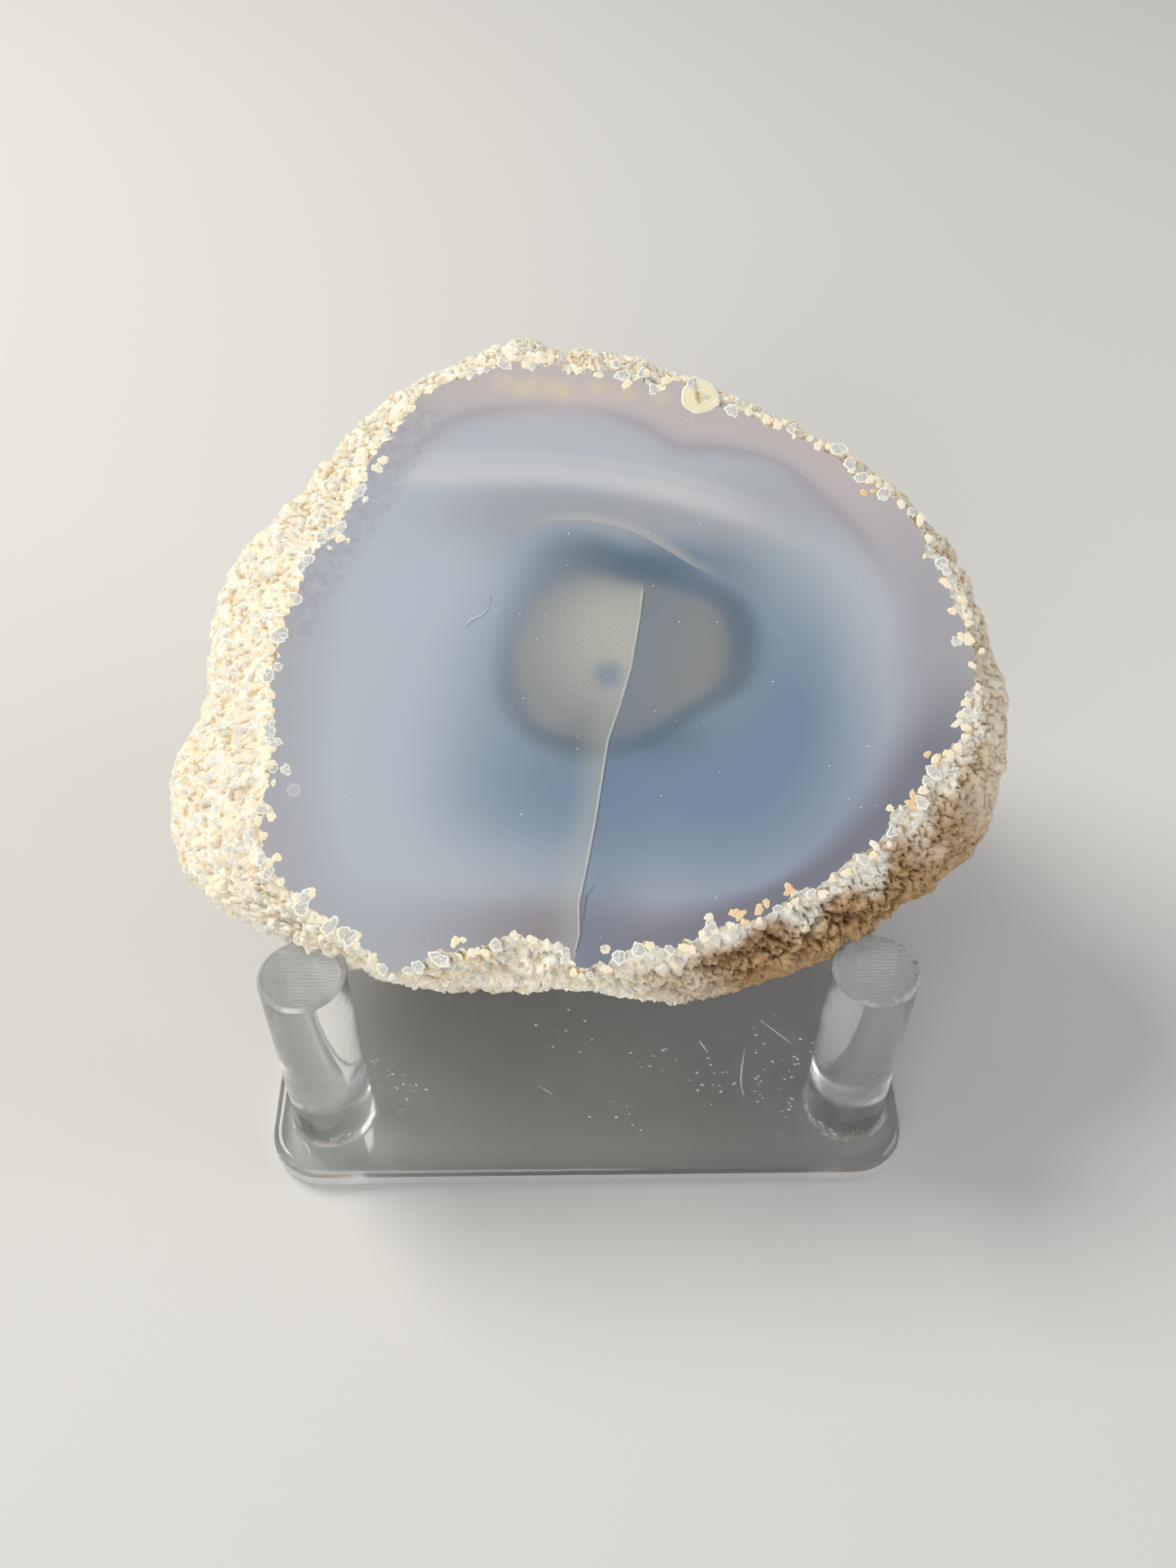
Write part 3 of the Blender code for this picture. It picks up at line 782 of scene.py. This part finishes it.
def buildRindMaterial():
    # Drusy quartz rind: chalky cream crystal ends, grey glassy ones between, iron stain in the creases with
    # painted crevice shade over it, and iron stain with painted shade on the lower right flank
    material, tree, shader = newMaterial("drusyQuartzRind")
    place = addNode(tree, "Attribute", {}, "Vector", attribute_name="stonePlace")
    tone, crease, rustAndShade = [addNode(tree, "Attribute", {}, "Fac", attribute_name=name)
                          for name in ("tone", "crease", "stain")]
    fine = addNode(tree, "TexNoise", {"Vector": place, "Scale": perMetre(0.8), "Detail": 4,
                                      "Roughness": 0.65})
    mixed = addNode(tree, "Math", [fine, 0.9, -0.45], operation="MULTIPLY_ADD")
    mixed = addNode(tree, "Math", [tone, mixed], operation="ADD")
    colour = addNode(tree, "ValToRGB", [mixed], stops=[
        (0.00, "#f8f0dc"), (0.25, "#efe3c6"), (0.42, "#fbf5e6"), (0.56, "#d4d6cf"), (0.68, "#eee2c4"),
        (0.85, "#f5ecd4"), (1.00, "#e4cb98")])
    # brown for the stained flanks: iron stain and painted shade together
    brown = addNode(tree, "ValToRGB", [mixed], stops=[
        (0.0, "#b08c5e"), (0.35, "#99784c"), (0.6, "#b8986e"), (0.8, "#8d6c43"), (1.0, "#c3ad87")])
    # creases darkened: ochre iron in the pits, and painted crevice shade
    pits = addNode(tree, "Math", [crease, fine], operation="MULTIPLY")
    pits = addNode(tree, "MapRange", [pits, 0.22, 0.55, 0, 0.85])
    ochre = addNode(tree, "Mix", {mixFactor: rustAndShade, mixA: linearColour("#cfab6c"),
                                  mixB: linearColour("#6f4f2b")}, mixResult, data_type="RGBA")
    for weight, layer in ((rustAndShade, brown), (pits, ochre)):
        colour = addNode(tree, "Mix", {mixFactor: weight, mixA: colour, mixB: layer}, mixResult,
                         data_type="RGBA")
    grit = addNode(tree, "TexNoise", {"Vector": place, "Scale": perMetre(0.4), "Detail": 3})
    bump = addNode(tree, "Bump", {"Height": grit, "Strength": 0.6, "Distance": 0.2 * mm})
    setSockets(tree, shader, {"Base Color": colour, "Roughness": 0.62, "Normal": bump, "IOR": 1.54})
    return material


# Crystals that the saw cut through: in the polished face, along its edge and as islands in it
cutCrystals = {
    "spacing": (1.2, 3.6),
    "edgeBand": (-1.4, 0.15),  # how far in from the rim they lie
    "glassRadius": (0.5, 1.1),
    "creamRadius": (0.35, 0.75),
    "creamShare": 0.6,
    "proud": 0.1,
    "root": 0.9,
    "sides": 24,  # a multiple of six, for the corners of a quartz crystal
    "stretch": (1.0, 1.5),
    "wobble": [(2, 0.2), (3, 0.14), (5, 0.06)],  # lobes of the outline and how deep they are at most
    "levels": [(0.0, 1.0, 1.0), (0.45, 1.0, 1.0), (0.74, 0.8, 0.75), (0.9, 0.5, 0.1), (1.0, 0.1, 0.0),
               (1.08, -9.0, 0.0)],  # share of the radius, share of the height, how far inside the crystal
    "islands": [  # middle, how many crystals each has, their spread and whether they are peach
        ((-43.5, 16.5), 5, 1.3, 0), ((-41.5, 16), 3, 1.0, 0), ((-38, 22), 2, 0.8, 0),
        ((17.5, -42.2), 4, 0.9, 1), ((20.3, -41.4), 3, 0.7, 1), ((46.3, -19.4), 3, 0.8, 1),
        ((42.6, -25.5), 3, 0.7, 1), ((-50, -20.5), 4, 1.1, 0), ((-51, -26.5), 6, 1.0, 0),
        ((-50, -34), 4, 0.8, 0), ((-2.5, -47.2), 2, 0.35, 0), ((24.2, -39.4), 3, 0.7, 1),
        ((-36, 27), 3, 0.9, 0), ((-46, -39.5), 4, 0.9, 0), ((12, -43.8), 3, 0.8, 0),
        ((-23.5, -45.3), 2, 0.6, 0), ((38.5, 22.3), 2, 0.4, 1), ((51.5, -2), 4, 0.8, 0),
        ((50.5, -13), 4, 0.9, 0), ((-38.5, -45), 3, 0.6, 0),
    ],
    "islandShare": 0.7,  # of the spread, as the scatter's deviation
    "peachTone": (0.85, 1.0),
    "creamTone": (0.55, 0.8),
    "glassTone": (0.0, 0.4),
    "sharpAngle": 35,
    "seed": 5,
}


def buildCutCrystals(rimLoop, material):
    rng = np.random.default_rng(cutCrystals["seed"])
    places, cream, peach = [], [], []
    outline = np.vstack([rimLoop, rimLoop[:1]])
    lengths = np.concatenate([[0], np.cumsum(np.hypot(*np.diff(outline, axis=0).T))])
    along = 0.0
    while along < lengths[-1]:
        point = np.array([np.interp(along, lengths, values) for values in outline.T])
        inward = -point / np.linalg.norm(point)
        places.append(point + inward * rng.uniform(*cutCrystals["edgeBand"]))
        cream.append(rng.random() < cutCrystals["creamShare"])
        peach.append(False)
        along += rng.uniform(*cutCrystals["spacing"])
    for middle, number, spread, allPeach in cutCrystals["islands"]:
        for _ in range(number):
            places.append(np.array(middle) + rng.normal(0, spread * cutCrystals["islandShare"], 2))
            cream.append(bool(allPeach) or rng.random() < cutCrystals["creamShare"])
            peach.append(bool(allPeach))
    places = np.array(places)
    count, sides, levels = len(places), cutCrystals["sides"], cutCrystals["levels"]
    size = np.where(cream, rng.uniform(*cutCrystals["creamRadius"], count),
                    rng.uniform(*cutCrystals["glassRadius"], count))[:, None]
    turn = np.arange(sides) * math.tau / sides
    each = (count, 1)
    wobble = sum(rng.uniform(0.02, depth, each) * np.cos(turn * lobes + rng.uniform(0, math.tau, each))
                 for lobes, depth in cutCrystals["wobble"])
    hexagon = math.cos(math.pi / 6) / np.cos(turn % (math.pi / 3) - math.pi / 6)
    stretch, heading = rng.uniform(*cutCrystals["stretch"], each), rng.uniform(0, math.pi, each)
    points, heart = [], []
    for share, lift, inside in levels:
        reach = size * share * (1 + wobble) * (hexagon if share > 0.4 else 1)
        u, v = reach * np.cos(turn) * stretch, reach * np.sin(turn)
        level = np.full((count, sides), lift * cutCrystals["proud"])
        if 0 < share < 1:
            level += cutCrystals["proud"] * rng.uniform(-0.5, 0.5, (count, sides))
        ring = np.stack([places[:, :1] + u * np.cos(heading) - v * np.sin(heading),
                         places[:, 1:] + u * np.sin(heading) + v * np.cos(heading), level], 2)
        points.append(ring if share else ring[:, :1])
        heart += [inside] * (sides if share else 1)
    points.append(np.column_stack([places, np.full(count, -cutCrystals["root"])])[:, None])
    heart.append(0.0)
    points = np.concatenate(points, axis=1).reshape(-1, 3)
    faces = []
    starts = [1 + sides * number for number in range(len(levels) - 1)]
    for side in range(sides):
        after = (side + 1) % sides
        faces.append((0, 1 + side, 1 + after))
        for a, b in zip(starts, starts[1:]):
            faces += [(a + side, b + side, b + after), (a + side, b + after, a + after)]
        faces.append((len(heart) - 1, starts[-1] + after, starts[-1] + side))
    faces = (np.array(faces)[None] + (np.arange(count) * len(heart))[:, None, None]).reshape(-1, 3)
    mesh = meshFrom("cutCrystals", toWorld(points), faces)
    mesh.set_sharp_from_angle(angle=math.radians(cutCrystals["sharpAngle"]))
    storePlace(mesh, points)
    peachTone, creamTone, glassTone = [rng.uniform(*cutCrystals[name], count)
                                       for name in ("peachTone", "creamTone", "glassTone")]
    tone = np.where(peach, peachTone, np.where(cream, creamTone, glassTone))
    storeValues(mesh, {"heart": np.tile(heart, count), "tone": np.repeat(tone, len(heart))})
    print("cut crystals:", count)
    showPiece("cutCrystals", mesh, [material], "agate", ["agate_nodule"])


def buildCutCrystalMaterial():
    # Sawn quartz: grey glass with a white skin and flaws inside, or chalky cream and peach right through
    material, tree, shader = newMaterial("sawnQuartz")
    place = addNode(tree, "Attribute", {}, "Vector", attribute_name="stonePlace")
    tone, heart = [addNode(tree, "Attribute", {}, "Fac", attribute_name=name) for name in ("tone", "heart")]
    flaws = addNode(tree, "TexNoise", {"Vector": place, "Scale": perMetre(0.55), "Detail": 3,
                                       "Distortion": 1.0})
    body = addNode(tree, "ValToRGB", [tone], stops=[
        (0.0, "#bbbcb7"), (0.45, "#cfcec5"), (0.55, "#f3ead0"), (0.8, "#f6e8c4"), (0.85, "#efcfa0"),
        (1.0, "#eccb9d")])
    skin = addNode(tree, "ValToRGB", [tone], stops=[
        (0.0, "#fbf9f0"), (0.5, "#fbf5e3"), (0.8, "#f8ecce"), (0.85, "#f2d9ae")])
    inner = addNode(tree, "MapRange", [heart, 0.1, 0.75, 0, 1])
    white = addNode(tree, "MapRange", [flaws, 0.5, 0.66, 1, 0.25])
    inner = addNode(tree, "Math", [inner, white], operation="MULTIPLY")
    colour = addNode(tree, "Mix", {mixFactor: inner, mixA: skin, mixB: body}, mixResult, data_type="RGBA")
    bump = addNode(tree, "Bump", {"Height": flaws, "Strength": 0.7, "Distance": 0.15 * mm})
    setSockets(tree, shader, {"Base Color": colour, "Roughness": 0.25, "Normal": bump, "IOR": 1.54})
    return material


# A round growth of chalcedony cut through at the upper edge, with a flaw in its middle
botryoid = {
    "middle": (13.3, 38.2),
    "radius": 3.1,
    "sides": 64,
    "rings": 14,
    "dome": 0.06,
    "lift": 0.03,
    "root": 0.8,
    "wobble": [(0.03, 3, 1), (0.02, 7, 0)],  # depth, number of lobes and where they start
    "flaw": [(12.6, 39.9), (13.0, 38.6), (13.2, 37.3)],
    "flawWidth": 0.35,
}


def buildBotryoid():
    # Banded chalcedony: cream shells, each with its own edge, and an ochre flaw where they meet
    material, tree, shader = newMaterial("shelledChalcedony")
    shell, flaw = [addNode(tree, "Attribute", {}, "Fac", attribute_name=name) for name in ("shell", "flaw")]
    colour = addNode(tree, "ValToRGB", [shell], stops=[
        (0.0, "#e9dcae"), (0.28, "#e2d5a6"), (0.34, "#f0e8c6"), (0.55, "#e6dcb4"), (0.62, "#efe7c8"),
        (0.8, "#e5ddbd"), (0.92, "#f4efdc"), (1.0, "#d8d2be")])
    colour = addNode(tree, "Mix", {mixFactor: flaw, mixA: colour, mixB: linearColour("#a98a4d")}, mixResult,
                     data_type="RGBA")
    setSockets(tree, shader, {"Base Color": colour, "Roughness": 0.15, "IOR": 1.54})

    sides, rings, middle = botryoid["sides"], botryoid["rings"], botryoid["middle"]
    shares = np.repeat(np.arange(1, rings + 1) / rings, sides)
    turn = np.tile(np.arange(sides) * math.tau / sides, rings)
    wobble = 1 + sum(depth * np.cos(lobes * turn + start) for depth, lobes, start in botryoid["wobble"])
    reach = botryoid["radius"] * shares * wobble
    level = botryoid["dome"] * (1 - shares ** 2) + botryoid["lift"]
    level[-sides:] = -botryoid["root"]
    points = np.column_stack([middle[0] + reach * np.cos(turn), middle[1] + reach * np.sin(turn), level])
    points = np.vstack([[(*middle, botryoid["dome"] + botryoid["lift"])], points])
    nextSide = [(side + 1) % sides for side in range(sides)]
    faces = [(0, 1 + side, 1 + after) for side, after in enumerate(nextSide)]
    for start in range(1, 1 + (rings - 1) * sides, sides):
        faces += [(start + side, start + sides + side, start + sides + after, start + after)
                  for side, after in enumerate(nextSide)]
    mesh = meshFrom("botryoid", toWorld(points), faces)
    distance = nearestOnLine(points[:, :2], botryoid["flaw"])[0]
    storeValues(mesh, {"shell": np.concatenate([[0], shares]),
                       "flaw": 0.85 * np.exp(-(distance / botryoid["flawWidth"]) ** 2)})
    print("botryoid:", len(mesh.polygons), "faces")
    showPiece("botryoid", mesh, [material], "agate", ["agate_nodule"])


# Lint and dust lying on the polish
faceDust = {
    "lint": [(-22.8, 1.2), (-22, 2.2), (-21, 2.7), (-20.1, 3.1), (-19.4, 3.9), (-19, 5.0), (-18.9, 6.0)],
    "lintRadius": 0.065,
    "lintLift": (0.09, 0.06),  # mean height, and how far it rises and falls
    "lintSides": 4,
    "specks": 70,
    "speckRadius": (0.08, 0.2),
    "seed": 11,
}


def speckMesh(places, radii, heights):  # small crumbs: squashed octahedra at these places
    corner = np.array([(1, 0, 0), (0, 1, 0), (-1, 0, 0), (0, -1, 0), (0, 0, 1), (0, 0, -1)])
    shape = np.array([(0, 1, 4), (1, 2, 4), (2, 3, 4), (3, 0, 4), (1, 0, 5), (2, 1, 5), (3, 2, 5), (0, 3, 5)])
    points = places[:, None] + corner[None] * np.stack([radii, radii * 0.8, heights], 1)[:, None]
    faces = shape[None] + (np.arange(len(places)) * len(corner))[:, None, None]
    return points.reshape(-1, 3), faces.reshape(-1, 3)


def buildFaceDust(rimLoop):
    # Cotton lint and household dust: white, dull and fibrous
    material, tree, shader = newMaterial("dustAndLint")
    place = addNode(tree, "TexCoord", {}, "Object")
    fibre = addNode(tree, "TexNoise", {"Vector": place, "Scale": perMetre(0.2)})
    colour = addNode(tree, "ValToRGB", [fibre], stops=[(0.3, "#d8dade"), (0.7, "#f4f4f2")])
    setSockets(tree, shader, {"Base Color": colour, "Roughness": 0.9})

    rng = np.random.default_rng(faceDust["seed"])
    count = faceDust["specks"]
    angle, share = rng.uniform(0, math.tau, count), np.sqrt(rng.uniform(0.02, 0.9, count))
    reach = rimRadius(rimLoop, angle) * share
    radii = rng.uniform(*faceDust["speckRadius"], count)
    places = np.column_stack([reach * np.cos(angle), reach * np.sin(angle), radii * 0.3])
    points, faces = [values.tolist() for values in speckMesh(places, radii, radii * 0.5)]

    line, sides = faceDust["lint"], faceDust["lintSides"]
    thick, (lift, sway), first = faceDust["lintRadius"], faceDust["lintLift"], len(points)
    turns = np.arange(sides) * math.tau / sides
    tube = [(x, y + thick * math.cos(turn), lift + sway * math.sin(step) + thick * math.sin(turn))
            for step, (x, y) in enumerate(line) for turn in turns]
    for start in range(first, first + (len(line) - 1) * sides, sides):
        faces += [(start + side, start + sides + side, start + sides + (side + 1) % sides,
                   start + (side + 1) % sides) for side in range(sides)]
    mesh = meshFrom("faceDust", toWorld(np.array(points + tube)), faces)
    print("face dust:", count, "specks and one thread of lint")
    showPiece("faceDust", mesh, [material], "agate", ["agate_nodule"])
    return material


def buildNodule():
    rimLoop = buildRind(buildRindMaterial())
    buildFace(rimLoop, buildFaceMaterial())
    buildCutCrystals(rimLoop, buildCutCrystalMaterial())
    buildBotryoid()
    dust = buildFaceDust(rimLoop)
    print("nodule ready")
    return dust


# The stand: plate and pegs fused by their cement, each peg sawn off by hand.
# Its finishes, in the order of its materials: clear, sawn, satin edge, drawn rod, scuffed underside.
clearFinish, sawnFinish, satinFinish, drawnFinish, scuffedFinish = range(5)

pegProfile = [  # radius, height above the plate, and the finish of the band above
    (0.0, -0.9, clearFinish), (7.0, -0.9, clearFinish), (7.05, 0.03, clearFinish), (6.75, 0.14, clearFinish),
    (6.52, 0.42, clearFinish), (6.4, 0.9, clearFinish), (6.35, 1.6, clearFinish), (6.35, 12, drawnFinish),
    (6.35, 24, drawnFinish), (6.35, 37.6, clearFinish), (6.33, 37.8, sawnFinish), (5.98, 38.25, sawnFinish),
    (5.8, 38.4, sawnFinish), (4.6, 38.4, sawnFinish), (3.1, 38.4, sawnFinish), (1.5, 38.4, sawnFinish),
    (0.0, 38.4, sawnFinish),
]

pegWear = {
    "cementHeight": 1.5,
    "cementSpread": (0.5, 3.5),  # how far it was squeezed out, and how often that changes around the foot
    "chipHeight": 38.2,
    "chipRadius": 5,  # only the outer edge is chipped
    "chipPattern": (9, 0.12),  # how often the chips change around the edge, and how much is left whole
    "chipDepth": {"peg_front_right": 1.5},
    "usualChipDepth": 0.35,
}

bubbles = {  # air trapped in the cement: peg, compass direction in degrees, how many, radius
    "clusters": [("peg_front_right", 215, 14, (0.3, 0.85)), ("peg_front_left", 290, 8, (0.25, 0.55)),
                 ("peg_front_right", 290, 4, (0.15, 0.35)), ("peg_front_left", 200, 3, (0.15, 0.3))],
    "scatter": 18,  # degrees
    "ring": (4.8, 6.2),
    "height": (-0.4, 1.8),
    "seed": 8,
}

plateMarks = {
    "dustAround": [(-36.2, -29.8), (-32.4, -34.5), (-29.5, -37.6), (33.2, -33), (34.5, -29.5), (33.5, -41),
                   (-3.5, -26.3), (9.5, -30.4), (20, -35.9), (5, -43.2), (30, -27), (28, -37), (23, -33)],
    "dustEach": 9,
    "dustSpread": 2.2,
    "dustRadius": (0.12, 0.36),
    "dustLift": 0.02,
    "pegClear": 7.5,
    "plateReach": 48,
    "scratches": [[(26.6, -29), (25.9, -32.1), (25.4, -35.2), (25.7, -38.3)], [(29.9, -23.4), (34.9, -28.3)],
                  [(19, -27), (20.4, -29.6)], [(-8, -35.5), (-5.6, -37.2)]],
    "scratchWidth": 0.34,
    "scratchSteps": 9,
    "scratchLift": 0.012,
    "seed": 3,
}


def buildPlateMesh():
    width, depth, thick = stand["plate"]
    radius, cornerSteps = stand["cornerRadius"], stand["cornerSteps"]
    bm = bmesh.new()
    outline = []
    for corner, (sideX, sideY) in enumerate(((1, 1), (-1, 1), (-1, -1), (1, -1))):
        for step in range(cornerSteps + 1):
            angle = (corner + step / cornerSteps) * math.pi / 2
            outline.append(bm.verts.new(((sideX * (width / 2 - radius) + radius * math.cos(angle)) * mm,
                                         (sideY * (depth / 2 - radius) + radius * math.sin(angle)) * mm, 0)))
    under = bm.faces.new(outline)
    raised = bmesh.ops.extrude_face_region(bm, geom=[under])["geom"]
    bmesh.ops.translate(bm, verts=[part for part in raised if isinstance(part, bmesh.types.BMVert)],
                        vec=(0, 0, thick * mm))
    for level, (size, steps) in ((thick, stand["topRound"]), (0, stand["underRound"])):
        edges = [edge for edge in bm.edges if all(abs(vert.co.z - level * mm) < 1e-6 for vert in edge.verts)]
        bmesh.ops.bevel(bm, geom=edges, offset=size * mm, segments=steps, profile=0.5, affect="EDGES")
    bmesh.ops.recalc_face_normals(bm, faces=bm.faces)
    for face in bm.faces:
        if face.calc_center_median().z < (thick - stand["topRound"][0]) * mm:
            face.material_index = scuffedFinish if abs(face.normal.z) > 0.9 else satinFinish
    mesh = bpy.data.meshes.new("standPlate")
    bm.to_mesh(mesh)
    bm.free()
    return mesh


def buildPegMesh(name, axis, seed):
    base, angles = stand["plate"][2], np.arange(stand["pegSides"]) * math.tau / stand["pegSides"]
    cementHeight, (spread, changes) = pegWear["cementHeight"], pegWear["cementSpread"]
    often, whole = pegWear["chipPattern"]
    chipDepth = pegWear["chipDepth"].get(name, pegWear["usualChipDepth"])
    points, rings, faces, finishes = [], [], [], []
    for radius, height, _ in pegProfile:
        ringAngles = angles if radius else angles[:1]
        rings.append([len(points) + place for place in range(len(ringAngles))])
        for angle in ringAngles:
            x, y = math.cos(angle), math.sin(angle)
            size = radius
            if 0 < height < cementHeight:  # cement squeezed out unevenly
                size += spread * abs(noise.noise((x * changes, y * changes, seed))) * (cementHeight - height)
            if height > pegWear["chipHeight"] and radius > pegWear["chipRadius"]:
                size -= chipDepth * max(0, noise.noise((x * often, y * often, seed + 5)) - whole)
            points.append(((axis[0] + size * x) * mm, (axis[1] + size * y) * mm, (base + height) * mm))
    for low, high, (_, _, finish) in zip(rings, rings[1:], pegProfile):
        for side in range(len(angles)):
            after = (side + 1) % len(angles)
            corners = [low[side % len(low)], low[after % len(low)], high[after % len(high)],
                       high[side % len(high)]]
            faces.append(list(dict.fromkeys(corners)))  # a triangle where a ring is one point
            finishes.append(finish)
    mesh = bpy.data.meshes.new(name)
    mesh.from_pydata(points, [], faces)
    mesh.polygons.foreach_set("material_index", finishes)
    return mesh


def buildStandMaterials():  # in the order of the finishes
    # Cast acrylic: water clear, with a haze of fine handling scratches
    cast, tree, shader = newMaterial("castAcrylic")
    place = addNode(tree, "TexCoord", {}, "Object")
    haze = addNode(tree, "TexNoise", {"Vector": place, "Scale": perMetre(6), "Detail": 4})
    rough = addNode(tree, "MapRange", [haze, 0.4, 0.7, 0.015, 0.09])
    setSockets(tree, shader, {"Roughness": rough, "Transmission Weight": 1.0})

    # Sawn acrylic: saw lines across the peg's end, 0.4 mm apart, drawn 0.6 mm apart so that they show.
    # The texture has 20 / tau lines to each unit of its scale.
    sawn, tree, shader = newMaterial("sawnAcrylic")
    place = addNode(tree, "TexCoord", {}, "Object")
    lines = addNode(tree, "TexWave", {"Vector": place, "Scale": perMetre(0.6) * math.tau / 20,
                                      "Distortion": 3.0, "Detail": 2, "Detail Scale": 2.0}, "Fac",
                    bands_direction="Y")
    bump = addNode(tree, "Bump", {"Height": lines, "Strength": 0.5, "Distance": 0.035 * mm})
    setSockets(tree, shader, {"Roughness": 0.2, "Normal": bump, "Transmission Weight": 0.86})

    # Satin acrylic: the plate's cut edge, scraped white but not polished
    satin, tree, shader = newMaterial("satinAcrylic")
    setSockets(tree, shader, {"Roughness": 0.4, "Transmission Weight": 0.65})

    # Drawn acrylic: the rod's skin, faintly pitted by handling, 0.8 mm apart
    drawn, tree, shader = newMaterial("drawnAcrylic")
    place = addNode(tree, "TexCoord", {}, "Object")
    dapple = addNode(tree, "TexNoise", {"Vector": place, "Scale": perMetre(0.8), "Detail": 3})
    bump = addNode(tree, "Bump", {"Height": dapple, "Strength": 0.5, "Distance": 0.03 * mm})
    setSockets(tree, shader, {"Roughness": 0.05, "Normal": bump, "Transmission Weight": 0.94})

    # Scuffed acrylic: the underside that slides on tables
    scuffed, tree, shader = newMaterial("scuffedAcrylic")
    setSockets(tree, shader, {"Roughness": 0.3, "Transmission Weight": 0.88})

    finishes = [cast, sawn, satin, drawn, scuffed]
    for material in finishes:
        shader = material.node_tree.nodes["Principled BSDF"]
        setSockets(material.node_tree, shader, {"Base Color": linearColour("#fbfdfd"), "IOR": 1.49})
    return finishes


def addBubbles(mesh):  # hollow spheres, their faces turned inwards
    rng = np.random.default_rng(bubbles["seed"])
    nearest, furthest = bubbles["ring"]
    bm = bmesh.new()
    bm.from_mesh(mesh)
    for name, heading, count, radii in bubbles["clusters"]:
        axis = pegPlaces()[name]
        for _ in range(count):
            turn = math.radians(heading + rng.normal(0, bubbles["scatter"]))
            radius, height = rng.uniform(*radii), rng.uniform(*bubbles["height"])
            reach = min(rng.uniform(nearest, furthest), furthest - radius)  # none breaks the surface
            place = Vector((axis[0] + reach * math.cos(turn), axis[1] + reach * math.sin(turn),
                            stand["plate"][2] + height))
            size = Vector((1, rng.uniform(0.7, 1.0), rng.uniform(0.6, 1.0))) * radius * mm
            lie = Matrix.LocRotScale(place * mm, Euler((0, 0, rng.uniform(0, 3))), size)
            shape = bmesh.ops.create_icosphere(bm, subdivisions=2, radius=1, matrix=lie)
            walls = list({face for vert in shape["verts"] for face in vert.link_faces})
            bmesh.ops.reverse_faces(bm, faces=walls)
            for face in walls:
                face.material_index = satinFinish
    bm.to_mesh(mesh)
    bm.free()


def buildPlateMarks(material):
    rng = np.random.default_rng(plateMarks["seed"])
    around = np.repeat(np.array(plateMarks["dustAround"], float), plateMarks["dustEach"], axis=0)
    spots = around + rng.normal(0, plateMarks["dustSpread"], around.shape)
    clear = np.all([np.hypot(*(spots - axis).T) > plateMarks["pegClear"] for axis in pegPlaces().values()],
                   axis=0)
    spots = spots[clear & (np.abs(spots).max(axis=1) < plateMarks["plateReach"])]
    radii = rng.uniform(*plateMarks["dustRadius"], len(spots))
    top = stand["plate"][2]
    places = np.column_stack([spots, np.full(len(spots), top + plateMarks["dustLift"])])
    points, faces = [values.tolist() for values in speckMesh(places, radii, radii * 0.3)]
    count, level = plateMarks["scratchSteps"], top + plateMarks["scratchLift"]
    for line in plateMarks["scratches"]:
        steps = np.linspace(0, len(line) - 1, count)
        x, y = [np.interp(steps, np.arange(len(line)), values) for values in zip(*line)]
        for step, (across, along) in enumerate(zip(x, y)):
            half = plateMarks["scratchWidth"] / 2 * math.sin(math.pi * (step + 0.5) / count)
            points += [(across - half, along, level), (across + half, along, level)]
            if step:
                last = len(points) - 1
                faces.append([last - 3, last - 2, last, last - 1])
    mesh = meshFrom("plateMarks", np.array(points) * mm, faces)
    print("plate marks:", len(spots), "specks")
    showPiece("plateMarks", mesh, [material], "clear_acrylic", ["stand_base"])


def buildStand(dust):
    materials = buildStandMaterials()
    solid = showPiece("acrylicStand", buildPlateMesh(), materials)
    cutters = []
    for seed, (name, axis) in enumerate(pegPlaces().items()):
        peg = showPiece(f"{name}_rod", buildPegMesh(name, axis, seed * 7.3), materials)
        union = solid.modifiers.new(name, "BOOLEAN")
        union.operation = "UNION"
        union.solver = "EXACT"
        union.object = peg
        cutters.append(peg)
    bpy.context.view_layer.update()
    fused = bpy.data.meshes.new_from_object(solid.evaluated_get(bpy.context.evaluated_depsgraph_get()))
    for item in [solid, *cutters]:
        bpy.data.objects.remove(item)
    fused.name = "acrylicStand"
    addBubbles(fused)
    fused.shade_smooth()
    fused.set_sharp_from_angle(angle=math.radians(30))
    showPiece("acrylicStand", fused, [], "clear_acrylic", ["stand_base", *pegPlaces()])
    buildPlateMarks(dust)
    print("stand:", len(fused.polygons), "faces")


buildStudio()
buildStand(buildNodule())
